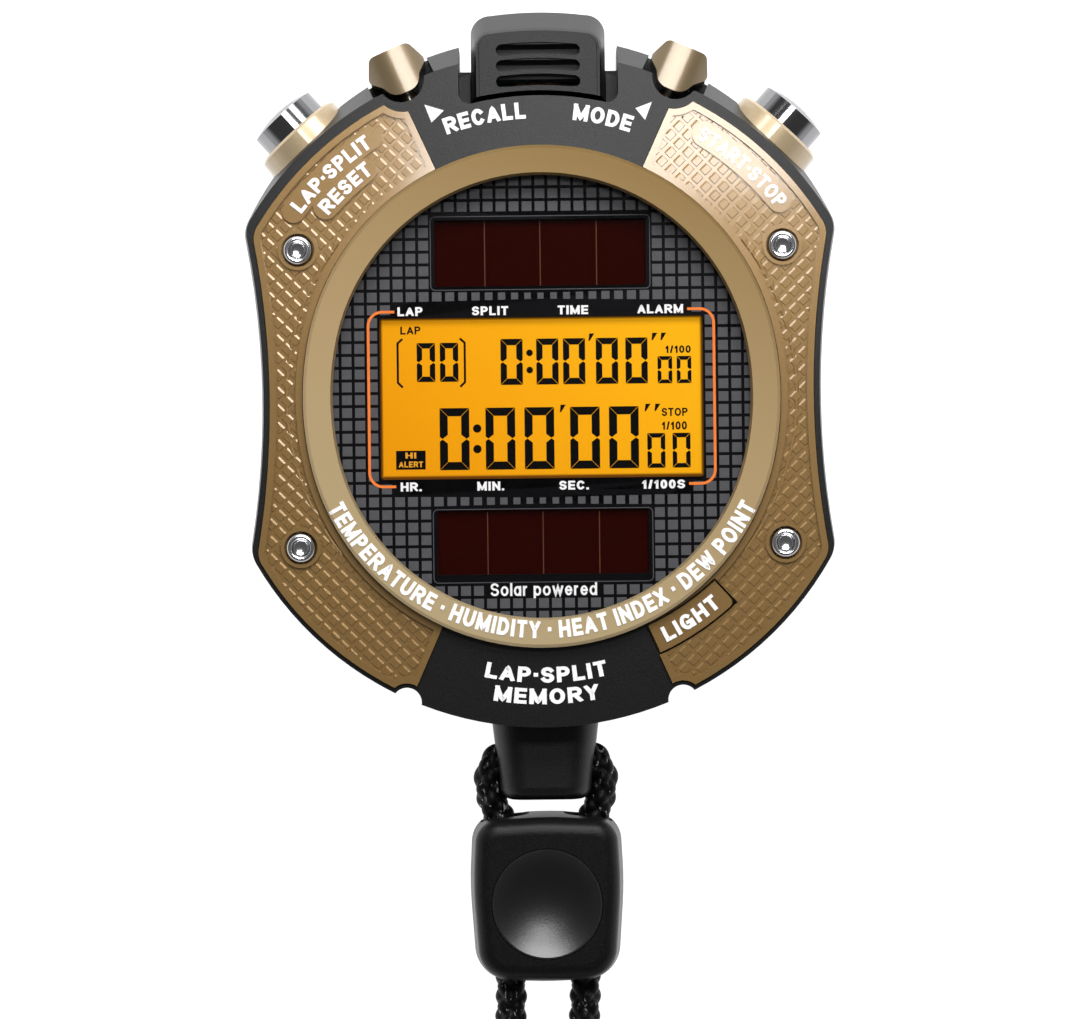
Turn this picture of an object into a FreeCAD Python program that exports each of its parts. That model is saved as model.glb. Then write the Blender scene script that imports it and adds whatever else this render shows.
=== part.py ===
"""Solar sports stopwatch on a neck cord, one solid per physical piece, in millimetres.

The watch lies on its back.  The origin is on the dial axis, in the plane that the back rests on.
+X points to 3 o'clock, +Y to 12 o'clock and +Z out of the dial.  Every function below returns the
shape of one piece in that frame; the table at the end names them and writes one STEP file each.
"""
import FreeCAD
import Part
import math
import os

Vector = FreeCAD.Vector
ORIGIN = Vector(0, 0, 0)
UP = Vector(0, 0, 1)
ALONG_X = Vector(1, 0, 0)
ALONG_Y = Vector(0, 1, 0)

# ---------------------------------------------------------------- heights above the rest plane
COVER_FLOOR = 1.8        # thickness of the rear cover
COVER_TOP = 3.4          # rear cover ends and front case begins
SLOPE_START = 11.0       # side wall starts to lean inwards
SLOPE_END = 17.2
FACE_TOP = 17.6          # front face between the side plates
DOME_R = 440.0           # the face falls away outwards like a shallow dome
DOME_PLACE = 24.0        # face, plate and pad heights are given at this distance from the axis
ROOF_BOTTOM = 13.9       # inside of the front wall
PLATE_SEAT = 15.7
PLATE_TOP = 17.65
PLATE_RIM_TOP = 18.0
RING_SEAT = 16.2
RING_TOP = 19.0
RING_LIP_BOTTOM = 17.7
LENS_BOTTOM = 16.0
DIAL_BOTTOM = 15.3
BOARD_BOTTOM = 6.3
BOARD_TOP = 7.9
PUSHER_Z = 9.8           # height of the two large pusher axes
KEY_STEM_Z = 10.5        # height of the small key axes

THROUGH_LOW, THROUGH_HIGH = 10.0, 20.0   # a cut between these goes through everything under the lens

# ---------------------------------------------------------------- case outline
WAIST_RADIUS = 97.5      # long concave arc of each side
CASE_BASE = {"top_y": 4.0, "top_r": 36.6, "waist": 31.45, "low_r": 37.15, "corner": 3.3}
CASE_FACE = {"top_y": 0.0, "top_r": 38.0, "waist": 31.0, "low_r": 36.9, "corner": 3.0}
PLATE_EDGE = {"top_y": 0.0, "top_r": 36.95, "waist": 30.3, "low_r": 36.4, "corner": 2.6}
WALL = 2.6
CASE_HOLLOW = {"top_y": 0.0, "top_r": 35.2, "waist": 28.4, "low_r": 34.4, "corner": 2.2}
NOTCH_RADIUS = 1.65      # small round notches beside the lower skirt
NOTCH_PLACE = 37.3
NOTCH_ANGLE = 24.4       # either side of 6 o'clock
NOTCH_RIM = 0.5
GASKET_INSET = 1.75
GASKET_WIDTH = 0.55
GASKET_HEIGHT = 0.5
GASKET_BRIDGE_Y = 32.5   # the gasket passes inside the sensor pod here
GASKET_BRIDGE_HALF = 8.75

# ---------------------------------------------------------------- oval window and bezel ring
RING_SIDE_R = 33.71      # arcs left and right
RING_CAP_R = 26.40       # arcs above and below
RING_SIDE_SHIFT = 7.135
RING_CAP_SHIFT = 1.573
RING_WIDTH = 3.48
LENS_INSET = 2.25        # lens edge, inside the ring's outer edge
OPENING_INSET = 4.2      # opening under the lens
FIT_GAP = 0.08           # gap round parts that are laid into a recess

# ---------------------------------------------------------------- display stack and solar cells
DISPLAY_Y = -0.1         # the display sits this far off the axis
WINDOW_HALF = (18.05, 9.0)
GLASS_HALF = (19.2, 9.8)
GLASS_FOOT_HALF = (19.2, 10.8)   # lower pane, with contact ledges
POLARISER_HALF = (18.9, 9.5)
LIGHT_PANEL_HALF = (18.9, 8.9)
LAMP_HALF = (1.4, 1.6)
STACK_GAP = 0.1          # between the display pieces and their frame
LIGHT_PANEL_BOTTOM = 11.8
LIGHT_PANEL_TOP = 13.0
GLASS_BOTTOM = 13.2
GLASS_STEP = 14.1
GLASS_TOP = 15.0
POLARISER_TOP = 15.2
FRAME_BOTTOM = 11.2
FRAME_LEG_X, FRAME_LEG_Y = 15.2, 15.0
FRAME_LEG_R = 1.1
SOLAR_HALF_X = 12.2
SOLAR_NEAR, SOLAR_FAR = 12.1, 20.0   # distances of a cell's edges from the axis
SOLAR_BOTTOM, SOLAR_TOP = 14.75, 15.25
SOLAR_WINDOW_HALF_X = 11.8
SOLAR_WINDOW_NEAR, SOLAR_WINDOW_FAR = 12.4, 19.8
STRIP_HALF_X = 16.9
STRIP_NEAR, STRIP_FAR = 9.25, 10.55

# ---------------------------------------------------------------- side plates
PLATE_END_UPPER = 24.45  # plate ends, either side of 12 o'clock
PLATE_END_LOWER = 23.9   # and either side of 6 o'clock
PLATE_RIM_WIDTH = 0.75
KEY_SCALLOP_R = 3.2      # plate corner cut back round the small key
KEY_SCALLOP_PLACE = 38.2
PAD_TOP = 17.95          # smooth pads that carry the words
SCREW_PLACE = 31.7
SCREW_ANGLE = 31.55      # above and below the 3 to 9 o'clock line
SCREW_HEAD_R = 1.65
SCREW_HEAD_TOP = 17.75
SCREW_HEAD_SEAT = 16.3
SCREW_SINK_R = 1.85
SCREW_COLLAR_R = 2.25
SCREW_BOSS_R = 3.1

# ---------------------------------------------------------------- large pushers
PUSHER_ANGLES = {"lap_reset": 132.0, "start_stop": 48.0}
PUSHER_TRAVEL = 1.0
COLLAR_INNER_END = 37.0
COLLAR_OUTER_END = 40.75
COLLAR_BASE_R = 5.5
COLLAR_TIP_R = 5.3
COLLAR_FLOOR = 0.9
CAP_RADIUS = 4.02
CAP_INNER_END = 39.6
CAP_EDGE_END = 43.1
CAP_TIP_END = 43.8
PUSHER_STEM_R = 1.3
PUSHER_STEM_END = 31.4
BORE_R = 1.72

# ---------------------------------------------------------------- small keys at the top
KEY_ANGLES = {"recall": 113.3, "mode": 66.7}
KEY_TRAVEL = 0.7
KEY_NOSE_TIP = 37.15
KEY_BOTTOM = 7.6
KEY_OUTER_END = 42.4
KEY_CROWN_TOP = 17.3     # ridge of the crown at the nose
KEY_CROWN_R = 4.6
KEY_SLOPE = 20.0
KEY_STEM_R = 0.9
KEY_STEM_END = 33.4
KEY_POCKET_R = 2.6
KEY_POCKET_PLACE = 38.75
KEY_POCKET_BOTTOM = 7.3

# ---------------------------------------------------------------- light key on the right plate
LIGHT_INNER = 28.15
LIGHT_OUTER = 31.45
LIGHT_FROM = 294.3
LIGHT_TO = 312.5
LIGHT_TRAVEL = 0.6
LIGHT_GAP = 0.22
LIGHT_STEM_PLACE = 29.8
LIGHT_STEM_ANGLE = 303.4
LIGHT_STEM_END = 10.5
LIGHT_FLANGE = (12.7, 13.6)
LIGHT_SWITCH_TOP = 9.4

# ---------------------------------------------------------------- sensor pod at 12 o'clock
POD_SLOT_HALF = 8.9      # half width of the slot in the case
POD_SLOT_R = 33.6
POD_SLOT_CORNER = 1.2
POD_LEDGE_R = 37.3       # the slot goes right through the case beyond this radius
POD_LEDGE_Z = 9.5
POD_HALF = 7.55
POD_TOP_Y = 43.4
POD_BOW = 0.35           # how far its outer edge bulges
POD_LOWER_R = 34.2
POD_FACE_Z = 16.2
GRILLE_TOP = 16.6
POD_WALL_HALF = 10.9     # room left solid round the pod, inside the case
POD_WALL_Y = 31.8
VENT_PLACES = (38.9, 37.15, 35.4)
VENT_HALF = 4.7
VENT_HEIGHT = 1.3

# ---------------------------------------------------------------- battery and its door
CELL_X, CELL_Y = 0.0, -14.6
CELL_R = 10.0
CELL_BOTTOM, CELL_TOP = 1.7, 4.9
DOOR_R = 12.4
DOOR_TURN = 45.0
DOOR_LUG_ANGLES = (90.0, 210.0, 330.0)
DOOR_LUG_SPAN = 28.0

# ---------------------------------------------------------------- neck cord and cord lock
CORD_R = 1.8
LEG_CLEARANCE = 0.05     # round each leg where it runs into the coil
TUNNEL_R = 2.1
LUG_ROOT_Y = 35.0        # distances from the axis, towards 6 o'clock
LUG_END_Y = 45.35
LUG_HALF_ROOT = 6.2
LUG_HALF_TIP = 5.0
LUG_TOP_Z = 11.4
LUG_ROUND = 1.5
LOCK_CENTRE_Y = -56.5
LOCK_HALF_X = 8.75
LOCK_HALF_Y = 9.7
LOCK_TOP_HALF_X = 8.35   # half widths where the sides meet the upper and the lower end
LOCK_LOW_HALF_X = 8.0
LOCK_WIDEST_Y = 1.5
LOCK_TOP_CORNER = 3.2
LOCK_LOW_CORNER = 4.0
LOCK_BOW = 0.35          # how far the ends of the lock bulge
LOCK_BOW_R = 40.0
LOCK_DRAFT = 0.55        # how far its top and bottom are drawn in
LOCK_WIDEST_Z = 5.0
LOCK_TOP_ROUND = 1.9
LOCK_LOW_ROUND = 1.2
LOCK_HEIGHT = 12.0
LOCK_CORD_X = 4.2
LOCK_CORD_Z = 5.6
LOCK_BORE_R = 2.15
LOCK_MOUTH = (5.1, -46.2, 6.1)   # centre of each bore's wide mouth, and where the bore is straight again
LOCK_MOUTH_R = 3.2
LOCK_THROAT_Y = -50.6
LOCK_TRAVEL = 5.0        # how far the lock slides down the cords
BUTTON_Y = -57.0
BUTTON_R = 6.2
BUTTON_TRAVEL = 2.0
BUTTON_TOP = 11.85
DISH_DEPTH = 1.5
DISH_RIM = 0.2
LOCK_FLOOR = 1.0
LOCK_SPRING_WELL_R = 1.75
LOCK_SPRING_TOP = 8.6

COIL_X, COIL_Y = 12.0, -104.0
COIL_OUTER_TURN = 21.3   # radius of the left leg's turns
COIL_INNER_TURN = 17.7   # radius of the right leg's turns
TIE_THICKNESS = 0.7      # strap round the coil; the turns are lifted by this much where it passes under
COIL_HEIGHT = 6 * CORD_R + TIE_THICKNESS
SLEEVE_ANGLE = 40.0      # where the sleeve that joins the two ends lies on the coil
SLEEVE_HALF_LENGTH = 5.5
SLEEVE_HALF_WIDTH = 4.3
TIE_ANGLE = -55.0
TIE_HALF_WIDTH = 4.0

# Route of each leg: out of the tunnel, round the lug, through the lock, down to the coil.
LEFT_ROUTE = [
    (0.0, -39.6, 7.0),
    (-4.2, -39.6, 7.0),
    (-6.6, -42.0, 7.0),
    (-6.2, -45.6, 6.6),
    (-4.2, -49.8, 5.6),
    (-4.2, -72.5, 5.6),
    (-6.0, -83.0, 2.0),
    (-9.3, -93.5, 1.8),
    (-9.3, -104.0, 1.8),
]
RIGHT_ROUTE = [
    (0.0, -39.6, 7.0),
    (4.2, -39.6, 7.0),
    (6.6, -42.0, 7.0),
    (6.2, -45.6, 6.6),
    (4.2, -49.8, 5.6),
    (4.2, -72.5, 5.6),
    (1.6, -82.0, 1.8),
    (-5.7, -93.5, 1.8),
    (-5.7, -104.0, 1.8),
]


# ================================================================ plain geometry helpers
def polar(radius, degrees, z=0.0):
    """Point at a distance from the dial axis and an angle from 3 o'clock."""
    angle = math.radians(degrees)
    return Vector(radius * math.cos(angle), radius * math.sin(angle), z)


def arc(first, middle, last):
    return Part.Arc(first, middle, last).toShape()


def line(first, last):
    return Part.LineSegment(first, last).toShape()


def prism(wire, height):
    """Straight solid that stands on a flat wire."""
    return Part.Face(wire).extrude(Vector(0, 0, height))


def cylinder(radius, low, high, x=0.0, y=0.0):
    """Upright cylinder between two heights."""
    return Part.makeCylinder(radius, high - low, Vector(x, y, low), UP)


def tube(outer, inner, low, high, x=0.0, y=0.0):
    return cylinder(outer, low, high, x, y).cut(cylinder(inner, low, high, x, y))


def block(x, y, z):
    """Box between two limits along each axis."""
    corner = Vector(x[0], y[0], z[0])
    return Part.makeBox(x[1] - x[0], y[1] - y[0], z[1] - z[0], corner)


def rod_y(radius, start, end, z, x=0.0):
    """Cylinder that lies along Y."""
    return Part.makeCylinder(radius, end - start, Vector(x, start, z), ALONG_Y)


def cone_y(start_radius, end_radius, start, end, z):
    return Part.makeCone(start_radius, end_radius, end - start, Vector(0, start, z), ALONG_Y)


def turned(shape, degrees):
    """Turn a piece that was drawn pointing to 12 o'clock to another clock angle."""
    return shape.rotated(ORIGIN, UP, degrees - 90.0)


def dome(height):
    """Ball whose surface passes through a height at the face's reference distance from the axis."""
    centre_z = height - math.sqrt(DOME_R ** 2 - DOME_PLACE ** 2)
    return Part.makeSphere(DOME_R, Vector(0, 0, centre_z))


def mirrored(shape):
    """The same piece on the other side of the 6 to 12 o'clock line."""
    return shape.mirror(ORIGIN, ALONG_X)


def inset(outline, distance):
    """The same case outline, moved inwards."""
    return {
        "top_y": outline["top_y"],
        "top_r": outline["top_r"] - distance,
        "waist": outline["waist"] - distance,
        "low_r": outline["low_r"] - distance,
        "corner": max(outline["corner"] - distance, 1.0),
    }


def meeting_point(centre_a, radius_a, centre_b, radius_b, side):
    """One of the two points where two circles cross; side is +1 for the upper, -1 for the lower."""
    gap = centre_b - centre_a
    along = (radius_a ** 2 - radius_b ** 2 + gap.Length ** 2) / (2 * gap.Length)
    across = math.sqrt(radius_a ** 2 - along ** 2)
    direction = Vector(gap).normalize()
    normal = Vector(-direction.y, direction.x, 0)
    if normal.y * side < 0:
        normal = -normal
    return centre_a + direction * along + normal * across


def corner_arc(centre_a, radius_a, centre_b, radius_b, corner, side):
    """Ends and middle of the fillet between an arc round A and a concave arc round B."""
    middle = meeting_point(centre_a, radius_a - corner, centre_b, radius_b + corner, side)
    out_a = (middle - centre_a).normalize()
    out_b = (centre_b - middle).normalize()
    bisector = (out_a + out_b).normalize()
    return centre_a + out_a * radius_a, middle + bisector * corner, middle + out_b * corner


def outline_wire(outline, z):
    """Closed case outline: domed top, two concave sides and a round bottom, with filleted corners."""
    height = Vector(0, 0, z)
    top_centre = Vector(0, outline["top_y"], 0)
    waist_centre = Vector(outline["waist"] + WAIST_RADIUS, 0, 0)
    upper = corner_arc(top_centre, outline["top_r"], waist_centre, WAIST_RADIUS, outline["corner"], 1)
    lower = corner_arc(ORIGIN, outline["low_r"], waist_centre, WAIST_RADIUS, outline["corner"], -1)
    right = [upper[0], upper[1], upper[2], Vector(outline["waist"], 0, 0), lower[2], lower[1], lower[0]]
    left = [Vector(-point.x, point.y, 0) for point in right]
    right = [point + height for point in right]
    left = [point + height for point in left]
    top = Vector(0, outline["top_y"] + outline["top_r"], z)
    bottom = Vector(0, -outline["low_r"], z)
    edges = [
        arc(left[0], top, right[0]),
        arc(right[0], right[1], right[2]),
        arc(right[2], right[3], right[4]),
        arc(right[4], right[5], right[6]),
        arc(right[6], bottom, left[6]),
        arc(left[6], left[5], left[4]),
        arc(left[4], left[3], left[2]),
        arc(left[2], left[1], left[0]),
    ]
    return Part.Wire(edges)


def oval_wire(grow, z):
    """Outer edge of the bezel ring, made of four tangent arcs and moved outwards by grow."""
    side_r = RING_SIDE_R + grow
    cap_r = RING_CAP_R + grow
    angle = math.atan2(RING_CAP_SHIFT, RING_SIDE_SHIFT)
    x = side_r * math.cos(angle) - RING_SIDE_SHIFT
    y = side_r * math.sin(angle)
    right, left = Vector(side_r - RING_SIDE_SHIFT, 0, z), Vector(RING_SIDE_SHIFT - side_r, 0, z)
    top, bottom = Vector(0, cap_r + RING_CAP_SHIFT, z), Vector(0, -cap_r - RING_CAP_SHIFT, z)
    edges = [
        arc(Vector(x, -y, z), right, Vector(x, y, z)),
        arc(Vector(x, y, z), top, Vector(-x, y, z)),
        arc(Vector(-x, y, z), left, Vector(-x, -y, z)),
        arc(Vector(-x, -y, z), bottom, Vector(x, -y, z)),
    ]
    return Part.Wire(edges)


def oval(grow, low, high):
    return prism(oval_wire(grow, low), high - low)


def sector_wire(inner, outer, start, end, z):
    """Closed piece of a ring between two clock angles."""
    middle = (start + end) / 2
    edges = [
        arc(polar(inner, start, z), polar(inner, middle, z), polar(inner, end, z)),
        line(polar(inner, end, z), polar(outer, end, z)),
        arc(polar(outer, end, z), polar(outer, middle, z), polar(outer, start, z)),
        line(polar(outer, start, z), polar(inner, start, z)),
    ]
    return Part.Wire(edges)


def sector(inner, outer, start, end, low, high):
    return prism(sector_wire(inner, outer, start, end, low), high - low)


def rounded_block(x, y, z, corner):
    """Box with its four upright edges rounded."""
    box = block(x, y, z)
    upright = [edge for edge in box.Edges if abs(edge.tangentAt(edge.FirstParameter).z) > 0.99]
    return box.makeFillet(corner, upright)


def rounded_polygon(points, radii, z):
    """Closed polygon whose corners are arcs, each with its own radius."""
    corners = [Vector(x, y, z) for x, y in points]
    edges = []
    first_start = None
    for index, corner in enumerate(corners):
        back = (corners[index - 1] - corner).normalize()
        ahead = (corners[(index + 1) % len(corners)] - corner).normalize()
        turn = math.pi - back.getAngle(ahead)
        radius = radii[index]
        reach = radius * math.tan(turn / 2)
        bisector = (back + ahead).normalize()
        arc_start, arc_end = corner + back * reach, corner + ahead * reach
        middle = corner + bisector * (radius / math.cos(turn / 2) - radius)
        if first_start is None:
            first_start = arc_start
        else:
            edges.append(line(last_end, arc_start))
        edges.append(arc(arc_start, middle, arc_end))
        last_end = arc_end
    edges.append(line(last_end, first_start))
    return Part.Wire(edges)


def join(shapes):
    """One solid from several that touch or overlap."""
    whole = shapes[0]
    for shape in shapes[1:]:
        whole = whole.fuse(shape)
    return whole.removeSplitter()


def route_tube(route, radius):
    """Round tube along straight runs joined by tangent arcs, each as large as its runs allow."""
    points = [Vector(*point) for point in route]
    edges, radii = [], []
    start = points[0]
    for before, corner, after in zip(points, points[1:], points[2:]):
        back, ahead = before - corner, after - corner
        turn = math.pi - back.getAngle(ahead)
        reach = 0.45 * min(back.Length, ahead.Length)
        arc_start = corner + Vector(back).normalize() * reach
        arc_end = corner + Vector(ahead).normalize() * reach
        bend = reach / math.tan(turn / 2)
        bisector = (Vector(back).normalize() + Vector(ahead).normalize()).normalize()
        middle = corner + bisector * (bend / math.cos(turn / 2) - bend)
        edges += [line(start, arc_start), arc(arc_start, middle, arc_end)]
        radii.append(bend)
        start = arc_end
    edges.append(line(start, points[-1]))
    path = Part.Wire(edges)
    first_way = points[1] - points[0]
    section = Part.Wire(Part.makeCircle(radius, points[0], first_way))
    solid = path.makePipeShell([section], True, False)
    return solid, path.Length, radii


def helix_spring(coil_radius, wire_radius, length, turns):
    """Open coil spring that stands on z = 0, its wire ends inside the stated length."""
    rise = length - 2 * wire_radius
    helix = Part.makeHelix(rise / turns, rise, coil_radius)
    section = Part.Wire(Part.makeCircle(wire_radius, Vector(coil_radius, 0, 0), ALONG_Y))
    spring = Part.Wire(helix).makePipeShell([section], True, True)
    return spring.translated(Vector(0, 0, wire_radius))


def lay_outwards(shape, start, z):
    """Turn a piece that stands on z = 0 so that it points to 12 o'clock from a given radius."""
    laid = shape.rotated(ORIGIN, ALONG_X, -90.0)
    return laid.translated(Vector(0, start, z))


def cross_slot(place, half_length, half_width, low, high):
    """Cut for a screwdriver: two slots that cross."""
    slots = []
    for half_x, half_y in ((half_length, half_width), (half_width, half_length)):
        x_range = (place.x - half_x, place.x + half_x)
        y_range = (place.y - half_y, place.y + half_y)
        slots.append(block(x_range, y_range, (low, high)))
    return slots[0].fuse(slots[1])


# ================================================================ case
def screw_places():
    """Centres of the four screws at the corners of the face."""
    angles = (SCREW_ANGLE, 180 - SCREW_ANGLE, 180 + SCREW_ANGLE, -SCREW_ANGLE)
    return [polar(SCREW_PLACE, angle) for angle in angles]


BOARD_SCREW_PLACES = [Vector(-6.2, 28.9, 0), Vector(6.2, 28.9, 0), Vector(0, -29.3, 0)]


def case_notches(low, high, radius):
    """The two round notches beside the lower skirt."""
    centres = [polar(NOTCH_PLACE, 270 + side * NOTCH_ANGLE) for side in (-1, 1)]
    return [cylinder(radius, low, high, centre.x, centre.y) for centre in centres]


def lug_section(half, shrink, corner, place):
    """Rounded rectangle across the lug, drawn flat at a height that becomes its distance."""
    low, high = COVER_TOP + shrink, LUG_TOP_Z - shrink
    points = [(-half, low), (half, low), (half, high), (-half, high)]
    return rounded_polygon(points, [corner] * 4, place)


def lanyard_lug():
    """Tapered stud at 6 o'clock that the cord passes through."""
    sections = [
        lug_section(LUG_HALF_ROOT, 0.0, 3.4, LUG_ROOT_Y),
        lug_section(LUG_HALF_TIP, 0.3, 3.0, LUG_END_Y),
    ]
    stud = Part.makeLoft(sections, True, True)
    end_edges = [edge for edge in stud.Edges if abs(edge.BoundBox.ZMin - LUG_END_Y) < 0.01]
    return stud.makeFillet(LUG_ROUND, end_edges).rotated(ORIGIN, ALONG_X, 90.0)


def pod_wall():
    """Solid room round the sensor pod."""
    return block((-POD_WALL_HALF, POD_WALL_HALF), (POD_WALL_Y, 45.0), (0, 20))


def light_key_opening(gap, low, high):
    return sector(LIGHT_INNER - gap, LIGHT_OUTER + gap, LIGHT_FROM - 0.45, LIGHT_TO + 0.45, low, high)


def front_case():
    """Moulded front case with sloping sides, bosses and lug."""
    body = Part.makeLoft(
        [
            outline_wire(CASE_BASE, COVER_TOP),
            outline_wire(CASE_BASE, SLOPE_START),
            outline_wire(CASE_FACE, SLOPE_END),
            outline_wire(inset(CASE_FACE, 0.4), FACE_TOP),
        ],
        True,
        True,
    )
    body = body.common(dome(FACE_TOP))
    hollow = prism(outline_wire(CASE_HOLLOW, COVER_TOP - 1), ROOF_BOTTOM - COVER_TOP + 1)
    hollow = hollow.cut(pod_wall())
    body = body.cut(hollow)
    bosses = [cylinder(SCREW_BOSS_R, COVER_TOP, ROOF_BOTTOM + 0.5, p.x, p.y) for p in screw_places()]
    bosses += [cylinder(2.3, BOARD_TOP, ROOF_BOTTOM + 0.5, p.x, p.y) for p in BOARD_SCREW_PLACES]
    body = join([body, lanyard_lug()] + bosses)

    cuts = [
        oval(FIT_GAP, RING_SEAT, 30),
        oval(-LENS_INSET + FIT_GAP, DIAL_BOTTOM, 30),
        oval(-OPENING_INSET, 10, 30),
        light_key_opening(LIGHT_GAP, 10, 30),
    ]
    recess = plate_region(-FIT_GAP, PLATE_SEAT, 30)
    cuts += [recess, mirrored(recess)]
    cuts += case_notches(0, 30, NOTCH_RADIUS)
    cuts += pod_slot()
    for angle in KEY_ANGLES.values():
        cuts += [turned(cut, angle) for cut in key_pocket()]
    for angle in PUSHER_ANGLES.values():
        cuts += [turned(cut, angle) for cut in pusher_pocket()]
    for place in screw_places():
        cuts.append(cylinder(0.92, 10.0, 20, place.x, place.y))
        cuts.append(cylinder(1.02, 0, 9.0, place.x, place.y))
    for place in BOARD_SCREW_PLACES:
        cuts.append(cylinder(0.82, 7, 12.5, place.x, place.y))
    for route in (LEFT_ROUTE, RIGHT_ROUTE):
        cuts.append(route_tube(route[:5], TUNNEL_R)[0])
    for cut in cuts:
        body = body.cut(cut)
    return body


def rear_cover():
    """Back shell with a rim, a battery opening and four screw holes."""
    body = Part.makeLoft(
        [
            outline_wire(inset(CASE_BASE, 1.1), 0),
            outline_wire(inset(CASE_BASE, 0.25), 0.7),
            outline_wire(CASE_BASE, 1.5),
            outline_wire(CASE_BASE, COVER_TOP),
        ],
        True,
        True,
    )
    pocket = prism(outline_wire(CASE_HOLLOW, COVER_FLOOR), 5)
    keep = [cylinder(SCREW_BOSS_R, 0, 6, p.x, p.y) for p in screw_places()]
    keep += [cylinder(DOOR_R + 1.6, 0, 6, CELL_X, CELL_Y), pod_wall()]
    for shape in keep:
        pocket = pocket.cut(shape)
    body = body.cut(pocket)
    groove = gasket_ring(0.02)
    cuts = [groove]
    cuts += case_notches(-1, 6, NOTCH_RADIUS)
    cuts.append(block((-POD_SLOT_HALF, POD_SLOT_HALF), (POD_LEDGE_R, 50), (-1, 6)))
    for place in screw_places():
        cuts.append(cylinder(2.1, -1, 1.7, place.x, place.y))
        cuts.append(cylinder(1.15, -1, 6, place.x, place.y))
    cuts.append(cylinder(DOOR_R + 0.2, -1, 1.6, CELL_X, CELL_Y))
    cuts.append(cylinder(11.0, -1, 6, CELL_X, CELL_Y))
    cuts.append(cylinder(12.0, 2.4, 6, CELL_X, CELL_Y))
    for angle in DOOR_LUG_ANGLES:
        start = angle - DOOR_TURN - DOOR_LUG_SPAN / 2 - 3
        gap = sector(10.0, 12.0, start, start + DOOR_LUG_SPAN + 6, -1, 6)
        cuts.append(gap.translated(Vector(CELL_X, CELL_Y, 0)))
    for cut in cuts:
        body = body.cut(cut)
    return body


def gasket_ring(gap):
    """Flat ring in the joint between the two shells; gap widens it to make its groove."""
    low = COVER_TOP - GASKET_HEIGHT - gap
    outer = prism(outline_wire(inset(CASE_FACE, GASKET_INSET - gap), low), COVER_TOP - low)
    inner = prism(outline_wire(inset(CASE_FACE, GASKET_INSET + GASKET_WIDTH + gap), low - 1), 3)
    ring = outer.cut(inner)
    inner_y = GASKET_BRIDGE_Y - gap
    outer_y = GASKET_BRIDGE_Y + GASKET_WIDTH + gap
    side = GASKET_BRIDGE_HALF + gap
    ring = ring.cut(block((-side, side), (outer_y, 45.0), (0, 6)))
    bridge = block((-side, side), (inner_y, outer_y), (low, COVER_TOP))
    legs = [
        block(sorted((s * side, s * (side - GASKET_WIDTH - 2 * gap))), (inner_y, 35.4), (low, COVER_TOP))
        for s in (-1, 1)
    ]
    return join([ring, bridge] + legs)


def case_gasket():
    return gasket_ring(0.0)


def rear_cover_screws():
    screws = []
    for place in screw_places():
        head = cylinder(1.9, 0.1, 1.7, place.x, place.y)
        shank = cylinder(1.0, 1.7, 8.6, place.x, place.y)
        screws.append(head.fuse(shank).cut(cross_slot(place, 1.2, 0.25, 0.0, 0.9)))
    return Part.makeCompound(screws)


# ================================================================ bezel, lens and side plates
def bezel_ring():
    """Oval ring with a lip over the lens and a rounded top."""
    outer = oval(0.0, RING_SEAT, RING_TOP - 0.35)
    chamfer = Part.makeLoft(
        [oval_wire(0.0, RING_TOP - 0.35), oval_wire(-0.35, RING_TOP)], True, True
    )
    body = outer.fuse(chamfer)
    body = body.cut(oval(-LENS_INSET + FIT_GAP, 0, RING_LIP_BOTTOM))
    mouth = Part.makeLoft(
        [oval_wire(-RING_WIDTH, RING_LIP_BOTTOM - 1), oval_wire(-RING_WIDTH + 0.5, RING_TOP + 0.5)],
        True,
        True,
    )
    return body.cut(mouth).removeSplitter()


def lens():
    return oval(-LENS_INSET, LENS_BOTTOM, RING_LIP_BOTTOM)


def plate_region(shrink, low, high):
    """Solid of the right side plate's outline, moved inwards by shrink."""
    body = prism(outline_wire(inset(PLATE_EDGE, shrink), low), high - low)
    body = body.cut(oval(0.1 + shrink, low - 1, high + 1))
    start, end = -90 + PLATE_END_LOWER, 90 - PLATE_END_UPPER
    far = 60.0
    wedge_points = [
        polar(shrink / math.sin(math.radians((end - start) / 2)), (start + end) / 2, low),
        polar(far, start, low),
        Vector(1.5 * far, -far, low),
        Vector(1.5 * far, far, low),
        polar(far, end, low),
    ]
    shift = Vector(wedge_points[0].x, wedge_points[0].y, 0)
    moved = [wedge_points[0]] + [point + shift for point in wedge_points[1:]]
    wedge = prism(Part.makePolygon(moved + [moved[0]]), high - low)
    body = body.common(wedge)
    key_place = polar(KEY_SCALLOP_PLACE, KEY_ANGLES["mode"])
    body = body.cut(cylinder(KEY_SCALLOP_R + shrink, low - 1, high + 1, key_place.x, key_place.y))
    notch_place = polar(NOTCH_PLACE, 270 + NOTCH_ANGLE)
    notch_r = NOTCH_RADIUS + NOTCH_RIM + shrink
    return body.cut(cylinder(notch_r, low - 1, high + 1, notch_place.x, notch_place.y))


def right_plate_blank():
    """Plate with a raised rim round its edge, and the screw seats of its side."""
    body = plate_region(0.0, PLATE_SEAT, 20).common(dome(PLATE_RIM_TOP))
    body = body.cut(plate_region(PLATE_RIM_WIDTH, PLATE_SEAT, 21).cut(dome(PLATE_TOP)))
    for angle in (SCREW_ANGLE, -SCREW_ANGLE):
        place = polar(SCREW_PLACE, angle)
        collar = cylinder(SCREW_COLLAR_R, PLATE_SEAT, 20, place.x, place.y)
        collar = collar.common(plate_region(0.0, PLATE_SEAT, 21)).common(dome(PAD_TOP))
        body = body.fuse(collar)
        body = body.cut(cylinder(SCREW_SINK_R, SCREW_HEAD_SEAT, 20, place.x, place.y))
        body = body.cut(cylinder(1.0, 10, 20, place.x, place.y))
    return body


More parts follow.
